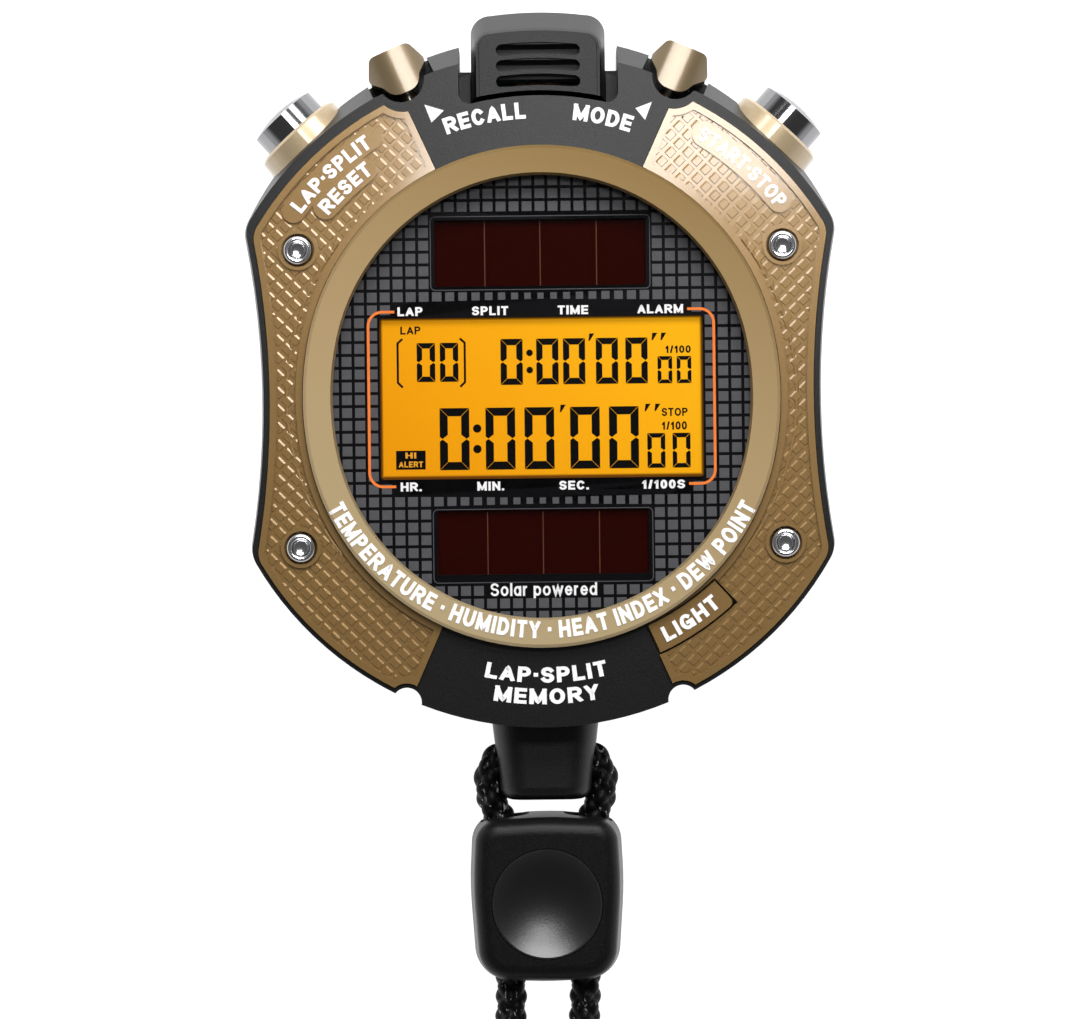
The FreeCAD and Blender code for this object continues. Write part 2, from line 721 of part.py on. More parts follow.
def label_pad(inner, outer, start, end):
    """Long pad with round ends that follows the plate's curve."""
    end_r = (outer - inner) / 2
    middle = (outer + inner) / 2
    trim = math.degrees(end_r / middle)
    low = PLATE_SEAT + 1
    strip = sector(inner, outer, start + trim, end - trim, low, 20)
    centres = [polar(middle, start + trim), polar(middle, end - trim)]
    ends = [cylinder(end_r, low, 20, centre.x, centre.y) for centre in centres]
    return join([strip] + ends).common(dome(PAD_TOP))


def right_side_plate():
    body = join([right_plate_blank(), label_pad(33.0, 35.75, 36.6, 59.8)])
    return body.cut(light_key_opening(LIGHT_GAP, 10, 30)).removeSplitter()


def left_side_plate():
    pads = [label_pad(33.2, 35.75, 120.7, 144.8), label_pad(30.6, 33.4, 125.0, 140.6)]
    return join([mirrored(right_plate_blank())] + pads)


def side_plate_screws():
    """Four cap screws with domed heads and hexagon sockets."""
    screws = []
    for place in screw_places():
        head = cylinder(SCREW_HEAD_R, SCREW_HEAD_SEAT, SCREW_HEAD_TOP, place.x, place.y)
        rim = [edge for edge in head.Edges if edge.BoundBox.ZMin > SCREW_HEAD_TOP - 0.01]
        head = head.makeFillet(0.45, rim)
        shank = cylinder(0.9, 10.6, SCREW_HEAD_SEAT, place.x, place.y)
        corners = [place + polar(0.85, 60 * k, SCREW_HEAD_TOP - 0.8) for k in range(6)]
        socket = prism(Part.makePolygon(corners + [corners[0]]), 2)
        screws.append(head.fuse(shank).cut(socket))
    return Part.makeCompound(screws)


# ================================================================ display
def display_layer(half, low, high, grow=0.0):
    """Flat rectangle of the display stack."""
    half_x, half_y = half[0] + grow, half[1] + grow
    return block((-half_x, half_x), (DISPLAY_Y - half_y, DISPLAY_Y + half_y), (low, high))


def bar_pair(half_x, near, far, low, high):
    """Two bars across the dial, one towards 12 o'clock and one towards 6 o'clock."""
    return [block((-half_x, half_x), sorted((side * near, side * far)), (low, high)) for side in (-1, 1)]


def dial_plate():
    """Printed mask under the lens, open over the display and both solar cells."""
    body = oval(-LENS_INSET, DIAL_BOTTOM, LENS_BOTTOM)
    half_x, half_y = WINDOW_HALF
    window = ((-half_x, half_x), (DISPLAY_Y - half_y, DISPLAY_Y + half_y), (THROUGH_LOW, THROUGH_HIGH))
    body = body.cut(rounded_block(*window, 0.4))
    cells = (SOLAR_WINDOW_HALF_X, SOLAR_WINDOW_NEAR, SOLAR_WINDOW_FAR, THROUGH_LOW, THROUGH_HIGH)
    for opening in bar_pair(*cells):
        body = body.cut(opening)
    return body


def solar_cells():
    """Two thin cells, each just below its opening in the dial plate."""
    return Part.makeCompound(bar_pair(SOLAR_HALF_X, SOLAR_NEAR, SOLAR_FAR, SOLAR_BOTTOM, SOLAR_TOP))


def lcd_glass():
    upper = display_layer(GLASS_HALF, GLASS_STEP, GLASS_TOP)
    lower = display_layer(GLASS_FOOT_HALF, GLASS_BOTTOM, GLASS_STEP)
    return upper.fuse(lower).removeSplitter()


def front_polariser():
    return display_layer(POLARISER_HALF, GLASS_TOP, POLARISER_TOP)


def rear_reflector():
    return display_layer(LIGHT_PANEL_HALF, LIGHT_PANEL_TOP, GLASS_BOTTOM)


def backlight_panel():
    """Light guide with its lamp block on the 3 o'clock end."""
    panel = display_layer(LIGHT_PANEL_HALF, LIGHT_PANEL_BOTTOM, LIGHT_PANEL_TOP)
    panel_end = LIGHT_PANEL_HALF[0]
    lamp_y = (-LAMP_HALF[1], LAMP_HALF[1])
    lamp_z = (LIGHT_PANEL_BOTTOM, LIGHT_PANEL_TOP - 0.2)
    return join([panel, block((panel_end, panel_end + LAMP_HALF[0]), lamp_y, lamp_z)])


def display_frame():
    """Oval carrier that centres the glass, light panel and solar cells over the board."""
    body = oval(-OPENING_INSET - 0.2, FRAME_BOTTOM, DIAL_BOTTOM)
    lamp_end = LIGHT_PANEL_HALF[0] + LAMP_HALF[0]
    cuts = [
        display_layer(GLASS_FOOT_HALF, GLASS_BOTTOM - 0.05, THROUGH_HIGH, STACK_GAP),
        display_layer((lamp_end + STACK_GAP, LIGHT_PANEL_HALF[1] + 0.05), THROUGH_LOW, THROUGH_HIGH),
    ]
    cuts += bar_pair(SOLAR_HALF_X + 0.2, SOLAR_NEAR - STACK_GAP, SOLAR_FAR + 0.2, SOLAR_BOTTOM, THROUGH_HIGH)
    strip_near, strip_far = STRIP_NEAR - STACK_GAP, STRIP_FAR + STACK_GAP
    cuts += bar_pair(STRIP_HALF_X + 0.2, strip_near, strip_far, THROUGH_LOW, THROUGH_HIGH)
    for cut in cuts:
        body = body.cut(cut)
    legs = [
        cylinder(FRAME_LEG_R, BOARD_TOP, FRAME_BOTTOM + 0.2, x, y)
        for x in (-FRAME_LEG_X, FRAME_LEG_X)
        for y in (-FRAME_LEG_Y, FRAME_LEG_Y)
    ]
    return join([body] + legs)


def contact_strips():
    """Two striped rubber strips that join the glass to the board."""
    return Part.makeCompound(bar_pair(STRIP_HALF_X, STRIP_NEAR, STRIP_FAR, BOARD_TOP, GLASS_BOTTOM))


# ================================================================ board and what is on it
def circuit_board():
    outline = {"top_y": 0.0, "top_r": 32.0, "waist": 27.4, "low_r": 33.4, "corner": 2.0}
    body = prism(outline_wire(outline, BOARD_BOTTOM), BOARD_TOP - BOARD_BOTTOM)
    body = body.cut(block((-11.3, 11.3), (31.3, 45), (0, 20)))
    for place in screw_places():
        body = body.cut(cylinder(SCREW_BOSS_R + 0.4, 0, 20, place.x, place.y))
    for place in BOARD_SCREW_PLACES:
        body = body.cut(cylinder(1.0, 0, 20, place.x, place.y))
    return body


def board_screws():
    screws = []
    for place in BOARD_SCREW_PLACES:
        head = cylinder(1.6, BOARD_BOTTOM - 1.1, BOARD_BOTTOM, place.x, place.y)
        shank = cylinder(0.8, BOARD_BOTTOM, 12.0, place.x, place.y)
        screws.append(head.fuse(shank).cut(cross_slot(place, 1.0, 0.2, 5.0, 5.8)))
    return Part.makeCompound(screws)


def main_chip():
    """Drop of black resin over the bonded chip."""
    drop = Part.makeSphere(9.0, Vector(0, 0, BOARD_TOP + 1.5 - 9.0))
    return drop.common(block((-9, 9), (-9, 9), (BOARD_TOP, 12)))


def quartz_crystal():
    can = Part.makeCylinder(1.0, 6.0, Vector(-16, 6.0, BOARD_BOTTOM - 1.0), ALONG_Y)
    leads = [
        Part.makeCylinder(0.15, 1.6, Vector(-16 + x, 4.4, BOARD_BOTTOM - 0.9), ALONG_Y)
        for x in (-0.4, 0.4)
    ]
    return join([can] + leads)


def buzzer_disc():
    """Brass sounder plate with its ceramic disc, bonded to the inside of the cover."""
    plate = cylinder(9.0, COVER_FLOOR, COVER_FLOOR + 0.25, 0, 14.0)
    ceramic = cylinder(6.5, COVER_FLOOR + 0.25, COVER_FLOOR + 0.5, 0, 14.0)
    return join([plate, ceramic])


def buzzer_contact():
    """Cone spring that stands on the sounder and feeds it from the board."""
    wire_end = BOARD_BOTTOM - COVER_FLOOR - 0.5
    return helix_spring(1.5, 0.2, wire_end, 5).translated(Vector(0, 14.0, COVER_FLOOR + 0.5))


def battery_contact(side):
    """Leaf spring under the board that presses on the cell."""
    x = side * 4.0
    foot = block((x - 1.5, x + 1.5), (CELL_Y - 4, CELL_Y), (BOARD_BOTTOM - 0.3, BOARD_BOTTOM))
    leaf_low = CELL_TOP
    leaf_points = [
        Vector(x - 1.5, CELL_Y, BOARD_BOTTOM - 0.3),
        Vector(x - 1.5, CELL_Y + 5.0, leaf_low),
        Vector(x - 1.5, CELL_Y + 6.5, leaf_low),
        Vector(x - 1.5, CELL_Y + 6.5, leaf_low + 0.3),
        Vector(x - 1.5, CELL_Y + 5.0, leaf_low + 0.3),
        Vector(x - 1.5, CELL_Y, BOARD_BOTTOM),
    ]
    leaf = Part.Face(Part.makePolygon(leaf_points + [leaf_points[0]])).extrude(Vector(3, 0, 0))
    return join([foot, leaf])


def battery_contacts():
    return Part.makeCompound([battery_contact(-1), battery_contact(1)])


def coin_cell():
    can = cylinder(CELL_R, CELL_BOTTOM, CELL_TOP - 0.4, CELL_X, CELL_Y)
    cap = cylinder(CELL_R - 1.2, CELL_TOP - 0.4, CELL_TOP, CELL_X, CELL_Y)
    return join([can, cap])


def battery_door():
    """Round door with a coin slot and three bayonet lugs."""
    disc = cylinder(DOOR_R, 0, 1.3, CELL_X, CELL_Y)
    hub = cylinder(11.3, 1.3, 1.55, CELL_X, CELL_Y)
    collar = tube(10.8, 10.2, 1.55, 3.1, CELL_X, CELL_Y)
    body = join([disc, hub, collar])
    for angle in DOOR_LUG_ANGLES:
        lug = sector(10.5, 11.8, angle - DOOR_LUG_SPAN / 2, angle + DOOR_LUG_SPAN / 2, 2.45, 3.1)
        body = body.fuse(lug.translated(Vector(CELL_X, CELL_Y, 0)))
    slot = block((CELL_X - 6.5, CELL_X + 6.5), (CELL_Y - 0.9, CELL_Y + 0.9), (-1, 0.85))
    return body.cut(slot).removeSplitter()


def battery_door_seal():
    return tube(DOOR_R - 0.1, 11.4, 1.3, 1.58, CELL_X, CELL_Y)


# ================================================================ sensor pod
def pod_slot():
    """Cuts in the case round the pod: a shallow ledge inside, right through further out."""
    side = POD_SLOT_HALF
    shallow = block((-side, side), (30, 50), (POD_LEDGE_Z, 30))
    shallow = shallow.cut(cylinder(POD_SLOT_R, 0, 40))
    corners = [
        edge for edge in shallow.Edges
        if abs(edge.tangentAt(edge.FirstParameter).z) > 0.99 and edge.CenterOfMass.y < POD_SLOT_R
    ]
    shallow = shallow.makeFillet(POD_SLOT_CORNER, corners)
    deep = block((-side, side), (30, 50), (-1, 30)).cut(cylinder(POD_LEDGE_R, -2, 40))
    seat = block((-POD_HALF - 0.1, POD_HALF + 0.1), (30, 50), (-1, 30))
    seat = seat.cut(cylinder(POD_LOWER_R - 0.05, -2, 40))
    door = block((-4.7, 4.7), (30, 36), (5.2, 9.4))
    return [shallow, deep, seat, door]


def pod_section(half, top_y, corner, z, lower_r=POD_LOWER_R):
    """Pod outline: round lower edge that follows the case, straight sides, bowed outer edge."""
    low_y = math.sqrt(lower_r ** 2 - half ** 2)
    side_y = top_y - POD_BOW
    slant = corner * (1 - math.sqrt(0.5))
    edges = [
        arc(Vector(-half, low_y, z), Vector(0, lower_r, z), Vector(half, low_y, z)),
        line(Vector(half, low_y, z), Vector(half, side_y - corner, z)),
        arc(
            Vector(half, side_y - corner, z),
            Vector(half - slant, side_y - slant, z),
            Vector(half - corner, side_y, z),
        ),
        arc(Vector(half - corner, side_y, z), Vector(0, top_y, z), Vector(corner - half, side_y, z)),
        arc(
            Vector(corner - half, side_y, z),
            Vector(slant - half, side_y - slant, z),
            Vector(-half, side_y - corner, z),
        ),
        line(Vector(-half, side_y - corner, z), Vector(-half, low_y, z)),
    ]
    return Part.Wire(edges)


def sensor_pod():
    """Hollow housing that stands out of the case at 12 o'clock."""
    body = Part.makeLoft(
        [
            pod_section(POD_HALF - 0.7, POD_TOP_Y - 0.9, 1.8, 3.6),
            pod_section(POD_HALF, POD_TOP_Y, 2.2, 5.0),
            pod_section(POD_HALF, POD_TOP_Y, 2.2, 10.5),
            pod_section(POD_HALF - 0.45, POD_TOP_Y - 2.2, 1.8, POD_FACE_Z - 0.6),
            pod_section(POD_HALF - 0.65, POD_TOP_Y - 2.5, 1.6, POD_FACE_Z),
        ],
        True,
        True,
    )
    neck = block((-4.6, 4.6), (31.9, 35.5), (5.3, 9.3))
    body = join([body, neck])
    body = body.cut(grille_solid(0.95, POD_FACE_Z - 0.9, 30, POD_LOWER_R - 1))
    body = body.cut(block((-5.6, 5.6), (34.7, 40.0), (6.2, 30)))
    return body.cut(block((-3.6, 3.6), (31, 36), (6.2, 8.6)))


def grille_solid(margin, low, high, lower_r=POD_LOWER_R):
    """Upright solid over the pod's face, a margin in from its sides and outer edge."""
    section = pod_section(POD_HALF - margin, POD_TOP_Y - 2.5 - margin / 2, 1.0, low, lower_r)
    return prism(section, high - low)


def vent_slot(place):
    """Slot along a circle round the dial axis, with round ends."""
    half = VENT_HEIGHT / 2
    span = math.degrees(math.asin((VENT_HALF - half) / place))
    slot = sector(place - half, place + half, 90 - span, 90 + span, 10, 20)
    for angle in (90 - span, 90 + span):
        end = polar(place, angle)
        slot = slot.fuse(cylinder(half, 10, 20, end.x, end.y))
    return slot


def vent_grille():
    """Plate with three curved slots and a slanted slat under each of the upper two."""
    body = grille_solid(1.0, POD_FACE_Z - 0.9, GRILLE_TOP)
    for place in VENT_PLACES:
        body = body.cut(vent_slot(place))
    slats = []
    for place in VENT_PLACES[:2]:
        low, high = POD_FACE_Z - 0.9, POD_FACE_Z
        points = [
            Vector(-VENT_HALF - 0.2, place + 0.75, low),
            Vector(-VENT_HALF - 0.2, place + 0.75, high),
            Vector(-VENT_HALF - 0.2, place + 0.45, high),
            Vector(-VENT_HALF - 0.2, place - 0.05, low),
        ]
        face = Part.Face(Part.makePolygon(points + [points[0]]))
        slats.append(face.extrude(Vector(2 * VENT_HALF + 0.4, 0, 0)))
    return join([body] + slats)


def vent_filter():
    return block((-5.5, 5.5), (35.5, 39.9), (14.9, 15.2))


def sensor_board():
    return block((-4.6, 4.6), (35.6, 39.6), (8.4, 9.2))


def humidity_sensor():
    """Square sensor chip with a round window."""
    body = block((-1.5, 1.5), (36.2, 39.2), (9.2, 10.2))
    return body.cut(cylinder(0.7, 9.9, 11, 0, 37.7))


def sensor_flex():
    """Flat strip from the sensor board through the neck to the main board."""
    return block((-2.5, 2.5), (27.5, 38.0), (8.25, 8.4)).fuse(
        block((-2.5, 2.5), (27.5, 29.5), (BOARD_TOP, 8.25))
    ).removeSplitter()


# ================================================================ large pushers
def pusher_pocket():
    """Seat of the collar and bore of the stem, drawn at 12 o'clock."""
    seat = rod_y(COLLAR_BASE_R + 0.02, COLLAR_INNER_END, 50, PUSHER_Z)
    bore = rod_y(BORE_R, 33, 40, PUSHER_Z)
    return [seat, bore]


def pusher_collar():
    """Gold sleeve that guides the cap."""
    length = COLLAR_OUTER_END - COLLAR_INNER_END
    body = cone_y(COLLAR_BASE_R, COLLAR_TIP_R, COLLAR_INNER_END, COLLAR_OUTER_END - 0.3, PUSHER_Z)
    lip = cone_y(COLLAR_TIP_R, COLLAR_TIP_R - 0.3, COLLAR_OUTER_END - 0.3, COLLAR_OUTER_END, PUSHER_Z)
    body = join([body, lip])
    well = rod_y(CAP_RADIUS + 0.08, COLLAR_INNER_END + COLLAR_FLOOR, COLLAR_INNER_END + length + 1, PUSHER_Z)
    bore = rod_y(BORE_R, 30, 45, PUSHER_Z)
    return body.cut(well).cut(bore)


def pusher_button():
    """Cap with a hollow for the spring, and its stem with two grooves."""
    cap = rod_y(CAP_RADIUS, CAP_INNER_END, CAP_EDGE_END, PUSHER_Z)
    dome_r = (CAP_RADIUS ** 2 + (CAP_TIP_END - CAP_EDGE_END) ** 2) / (2 * (CAP_TIP_END - CAP_EDGE_END))
    ball = Part.makeSphere(dome_r, Vector(0, CAP_TIP_END - dome_r, PUSHER_Z))
    dome = ball.common(rod_y(CAP_RADIUS, CAP_EDGE_END, CAP_TIP_END + 1, PUSHER_Z))
    hollow = rod_y(3.1, CAP_INNER_END - 1, 42.0, PUSHER_Z)
    stem = rod_y(PUSHER_STEM_R, PUSHER_STEM_END, 42.2, PUSHER_Z)
    body = join([cap.cut(hollow), dome, stem])
    clip_groove = rod_y(3, 34.55, 34.95, PUSHER_Z).cut(rod_y(0.95, 34, 36, PUSHER_Z))
    seal_groove = rod_y(3, 35.85, 36.55, PUSHER_Z).cut(rod_y(1.0, 35, 37, PUSHER_Z))
    return body.cut(clip_groove).cut(seal_groove)


def pusher_spring():
    length = 42.0 - COLLAR_INNER_END - COLLAR_FLOOR
    return lay_outwards(helix_spring(2.3, 0.22, length, 5), COLLAR_INNER_END + COLLAR_FLOOR, PUSHER_Z)


def pusher_seal():
    """Rubber ring in the stem's outer groove."""
    return Part.makeTorus(1.35, 0.33, Vector(0, 36.2, PUSHER_Z), ALONG_Y)


def pusher_clip():
    """Open steel ring that keeps the pusher in the case."""
    ring = rod_y(2.5, 34.58, 34.92, PUSHER_Z).cut(rod_y(0.97, 34, 36, PUSHER_Z))
    return ring.cut(block((-0.75, 0.75), (34, 36), (PUSHER_Z - 4, PUSHER_Z)))


def side_switch(stem_end, travel, stem_z):
    """Small side-pressed switch on the board, its plunger just inside the stem's full travel."""
    plunger_tip = stem_end - travel - 0.03
    body = block((-2.2, 2.2), (plunger_tip - 3.2, plunger_tip - 0.5), (BOARD_TOP, stem_z + 1.4))
    plunger = block((-0.9, 0.9), (plunger_tip - 0.5, plunger_tip), (stem_z - 0.7, stem_z + 0.7))
    return join([body, plunger])


def pusher_switch():
    return side_switch(PUSHER_STEM_END, PUSHER_TRAVEL, PUSHER_Z)


# ================================================================ small keys
def key_pocket():
    """Rounded pocket under the key and the bore of its stem, drawn at 12 o'clock."""
    round_end = cylinder(KEY_POCKET_R, KEY_POCKET_BOTTOM, 30, 0, KEY_POCKET_PLACE)
    mouth = block((-KEY_POCKET_R, KEY_POCKET_R), (KEY_POCKET_PLACE, 50), (KEY_POCKET_BOTTOM, 30))
    wings = block((-3.7, 3.7), (38.05, 50), (KEY_POCKET_BOTTOM, 30))
    bore = rod_y(KEY_STEM_R + 0.35, 30, 40, KEY_STEM_Z)
    return [round_end, mouth, wings, bore]


def key_outline(z):
    """Tooth shape: narrow round nose, neck, wide wings and a narrower flat end."""
    half = [(1.5, KEY_NOSE_TIP), (2.15, 38.6), (3.5, 39.85), (2.35, KEY_OUTER_END)]
    radii = [1.6, 1.5, 0.8, 0.8]
    points = half + [(-x, y) for x, y in half[::-1]]
    return rounded_polygon(points, radii + radii[::-1], z)


def small_key():
    """Crowned key with its stem, drawn at 12 o'clock.  Its ridge falls outwards with the case."""
    blank = prism(key_outline(KEY_BOTTOM), 12)
    slope = math.radians(KEY_SLOPE)
    start_y = KEY_NOSE_TIP - 8
    ridge_z = KEY_CROWN_TOP + 8 * math.tan(slope)
    front = Vector(0, start_y, ridge_z - KEY_CROWN_R / math.cos(slope))
    away = Vector(0, math.cos(slope), -math.sin(slope))
    crown = Part.makeCylinder(KEY_CROWN_R, 20, front, away)
    body_under = Part.makeBox(2 * KEY_CROWN_R, 30, 14, Vector(-KEY_CROWN_R, start_y, front.z - 14))
    body_under = body_under.rotated(front, ALONG_X, -KEY_SLOPE)
    body = blank.common(crown.fuse(body_under))
    stem = rod_y(KEY_STEM_R, KEY_STEM_END, 39.0, KEY_STEM_Z)
    return join([body, stem])


def key_boot():
    """Rubber sleeve in the wall that seals the stem and pushes the key back out."""
    return rod_y(KEY_STEM_R + 0.33, 34.3, 36.1, KEY_STEM_Z).cut(
        rod_y(KEY_STEM_R + 0.02, 33, 38, KEY_STEM_Z)
    )


def key_switch():
    return side_switch(KEY_STEM_END, KEY_TRAVEL, KEY_STEM_Z)


# ================================================================ light key
def light_key():
    """Curved key flush with the plate, a flange under the roof and a stem down to its switch."""
    cap = sector(LIGHT_INNER, LIGHT_OUTER, LIGHT_FROM, LIGHT_TO, LIGHT_FLANGE[1], 20).common(dome(PAD_TOP))
    far_corner = polar(LIGHT_OUTER, LIGHT_TO)
    corner = [
        edge
        for edge in cap.Edges
        if abs(edge.tangentAt(edge.FirstParameter).z) > 0.99
        and (Vector(edge.CenterOfMass.x, edge.CenterOfMass.y, 0) - far_corner).Length < 0.1
    ]
    cap = cap.makeFillet(0.7, corner)
    flange = sector(LIGHT_INNER - 0.55, LIGHT_OUTER + 0.75, LIGHT_FROM - 0.7, LIGHT_TO + 1.2, *LIGHT_FLANGE)
    foot = polar(LIGHT_STEM_PLACE, LIGHT_STEM_ANGLE)
    stem = cylinder(1.2, LIGHT_STEM_END, LIGHT_FLANGE[0] + 0.1, foot.x, foot.y)
    return join([cap, flange, stem])


def light_key_spring():
    foot = polar(LIGHT_STEM_PLACE, LIGHT_STEM_ANGLE)
    spring = helix_spring(2.5, 0.22, LIGHT_FLANGE[0] - BOARD_TOP, 5)
    return spring.translated(Vector(foot.x, foot.y, BOARD_TOP))


def light_switch():
    foot = polar(LIGHT_STEM_PLACE, LIGHT_STEM_ANGLE)
    body = block((foot.x - 1.5, foot.x + 1.5), (foot.y - 1.5, foot.y + 1.5), (BOARD_TOP, LIGHT_SWITCH_TOP))
    plunger = cylinder(0.8, LIGHT_SWITCH_TOP, LIGHT_STEM_END - LIGHT_TRAVEL - 0.03, foot.x, foot.y)
    return join([body, plunger])


# ================================================================ cord lock
def lock_outline(grow, z):
    """Rounded block with bowed sides, a little narrower at its lower end, moved outwards by grow."""
    top_x, low_x, side_x = (value + grow for value in (LOCK_TOP_HALF_X, LOCK_LOW_HALF_X, LOCK_HALF_X))
    end_y, bow_y = LOCK_HALF_Y - LOCK_BOW + grow, LOCK_HALF_Y + grow
    half = [(low_x, -end_y), (side_x, LOCK_WIDEST_Y), (top_x, end_y)]
    points = [(0.0, -bow_y)] + half + [(0.0, bow_y)] + [(-x, y) for x, y in reversed(half)]
    low_corner, top_corner = LOCK_LOW_CORNER + grow, LOCK_TOP_CORNER + grow
    radii = [LOCK_BOW_R, low_corner, LOCK_BOW_R, top_corner, LOCK_BOW_R, top_corner, LOCK_BOW_R, low_corner]
    return rounded_polygon(points, radii, z)


def lock_bore(side):
    """Straight bore for one leg, with a mouth that opens towards the lug."""
    bore = rod_y(LOCK_BORE_R, -80, -40, LOCK_CORD_Z, side * LOCK_CORD_X)
    throat = Part.Wire(
        Part.makeCircle(LOCK_BORE_R, Vector(side * LOCK_CORD_X, LOCK_THROAT_Y, LOCK_CORD_Z), ALONG_Y)
    )
    mouth_x, mouth_y, mouth_z = LOCK_MOUTH
    mouth = Part.Wire(Part.makeCircle(LOCK_MOUTH_R, Vector(side * mouth_x, mouth_y, mouth_z), ALONG_Y))
    return bore.fuse(Part.makeLoft([throat, mouth], True, True))


def cord_lock_body():
    """Soft-cornered block with a well for the button and two cord bores."""
    sections = [
        lock_outline(-LOCK_DRAFT, 0.0),
        lock_outline(0.0, LOCK_WIDEST_Z),
        lock_outline(-LOCK_DRAFT, LOCK_HEIGHT),
    ]
    body = Part.makeLoft(sections, True, True)
    for level, radius in ((LOCK_HEIGHT, LOCK_TOP_ROUND), (0.0, LOCK_LOW_ROUND)):
        rim = [
            edge for edge in body.Edges
            if abs(edge.BoundBox.ZMin - level) < 0.01 and abs(edge.BoundBox.ZMax - level) < 0.01
        ]
        body = body.makeFillet(radius, rim)
    body = body.translated(Vector(0, LOCK_CENTRE_Y, 0))
    body = body.cut(cylinder(BUTTON_R + FIT_GAP, LOCK_FLOOR, 20, 0, BUTTON_Y))
    for side in (-1, 1):
        body = body.cut(lock_bore(side))
    return body


def cord_lock_button():
    """Plunger with a dished top, a window for each cord and a hollow for its spring."""
    body = cylinder(BUTTON_R, 3.05, BUTTON_TOP, 0, BUTTON_Y)
    rim_r = BUTTON_R - DISH_RIM
    dish_r = (rim_r ** 2 + DISH_DEPTH ** 2) / (2 * DISH_DEPTH)
    dish = Part.makeSphere(dish_r, Vector(0, BUTTON_Y, BUTTON_TOP - DISH_DEPTH + dish_r))
    body = body.cut(dish)
    window_low = LOCK_CORD_Z - CORD_R - 0.05
    window_high = LOCK_CORD_Z + CORD_R + BUTTON_TRAVEL + 0.15
    for side in (-1, 1):
        x = sorted((side * 2.25, side * 10.0))
        body = body.cut(block(x, (BUTTON_Y - 10, BUTTON_Y + 10), (window_low, window_high)))
    return body.cut(cylinder(LOCK_SPRING_WELL_R, 0, LOCK_SPRING_TOP, 0, BUTTON_Y))


def cord_lock_spring():
    spring = helix_spring(1.35, 0.25, LOCK_SPRING_TOP - LOCK_FLOOR, 7)
    return spring.translated(Vector(0, BUTTON_Y, LOCK_FLOOR))


# ================================================================ neck cord
def coil_ring():
    """Outer shape of the wound cord: a round ring with a rounded square section."""
    inner, outer = COIL_INNER_TURN - CORD_R, COIL_OUTER_TURN + CORD_R
    body = tube(outer, inner, 0, COIL_HEIGHT, COIL_X, COIL_Y)
    return body.makeFillet(1.2, body.Edges)


def sleeve_place(shape):
    """Move a piece drawn at the coil's 3 o'clock to the sleeve's place on the coil."""
    return shape.rotated(ORIGIN, UP, SLEEVE_ANGLE).translated(Vector(COIL_X, COIL_Y, 0))


def sleeve_block():
    middle = (COIL_INNER_TURN + COIL_OUTER_TURN) / 2
    x = (middle - SLEEVE_HALF_WIDTH, middle + SLEEVE_HALF_WIDTH)
    top = COIL_HEIGHT + 0.5
    return block(x, (-SLEEVE_HALF_LENGTH, SLEEVE_HALF_LENGTH), (4 * CORD_R - 0.3, top))


def lanyard_end_sleeve():
    """Moulded sleeve that joins the two ends of the cord."""
    body = sleeve_block()
    long_edges = [e for e in body.Edges if abs(e.tangentAt(e.FirstParameter).y) > 0.99]
    return sleeve_place(body.makeFillet(1.3, long_edges))


def tie_place(shape):
    return shape.rotated(ORIGIN, UP, TIE_ANGLE).translated(Vector(COIL_X, COIL_Y, 0))


def tie_block(grow):
    """Block round the coil's section, drawn at 3 o'clock; grow is how far outside the cord it lies."""
    inner, outer = COIL_INNER_TURN - CORD_R, COIL_OUTER_TURN + CORD_R
    x = (inner - 0.5 - grow, outer + grow)
    low = TIE_THICKNESS - grow
    return block(x, (-TIE_HALF_WIDTH, TIE_HALF_WIDTH), (low, COIL_HEIGHT + grow))


def coil_tie():
    """Strap round the coil."""
    return tie_place(tie_block(TIE_THICKNESS).cut(tie_block(0.0)))


def lanyard_coil():
    """The put-away length of both legs, with room for the incoming legs, the sleeve and the tie."""
    body = coil_ring()
    for route in (LEFT_ROUTE, RIGHT_ROUTE):
        body = body.cut(route_tube(route, CORD_R + LEG_CLEARANCE)[0])
    body = body.cut(sleeve_place(sleeve_block()))
    return body.cut(coil_tie())


# ================================================================ table of pieces
def turned_pieces():
    """Pieces that are repeated at a clock angle."""
    made = {}
    for name, angle in PUSHER_ANGLES.items():
        made[name + "_collar"] = turned(pusher_collar(), angle)
        made[name + "_pusher"] = turned(pusher_button(), angle)
        made[name + "_spring"] = turned(pusher_spring(), angle)
        made[name + "_stem_seal"] = turned(pusher_seal(), angle)
        made[name + "_retaining_clip"] = turned(pusher_clip(), angle)
        made[name + "_switch"] = turned(pusher_switch(), angle)
    for name, angle in KEY_ANGLES.items():
        made[name + "_key"] = turned(small_key(), angle)
    angles = KEY_ANGLES.values()
    made["small_key_boots"] = Part.makeCompound([turned(key_boot(), angle) for angle in angles])
    made["small_key_switches"] = Part.makeCompound([turned(key_switch(), angle) for angle in angles])
    return made


def cord_legs():
    """The two legs, with a printed check of their bends and volume."""
    made = {}
    for name, route in (("lanyard_left_leg", LEFT_ROUTE), ("lanyard_right_leg", RIGHT_ROUTE)):
        solid, length, radii = route_tube(route, CORD_R)
        expected = math.pi * CORD_R ** 2 * length
        print(name, "length", round(length, 1), "radii", [round(r, 1) for r in radii])
        print(name, "volume / expected", round(solid.Volume / expected, 4))
        made[name] = solid
    return made


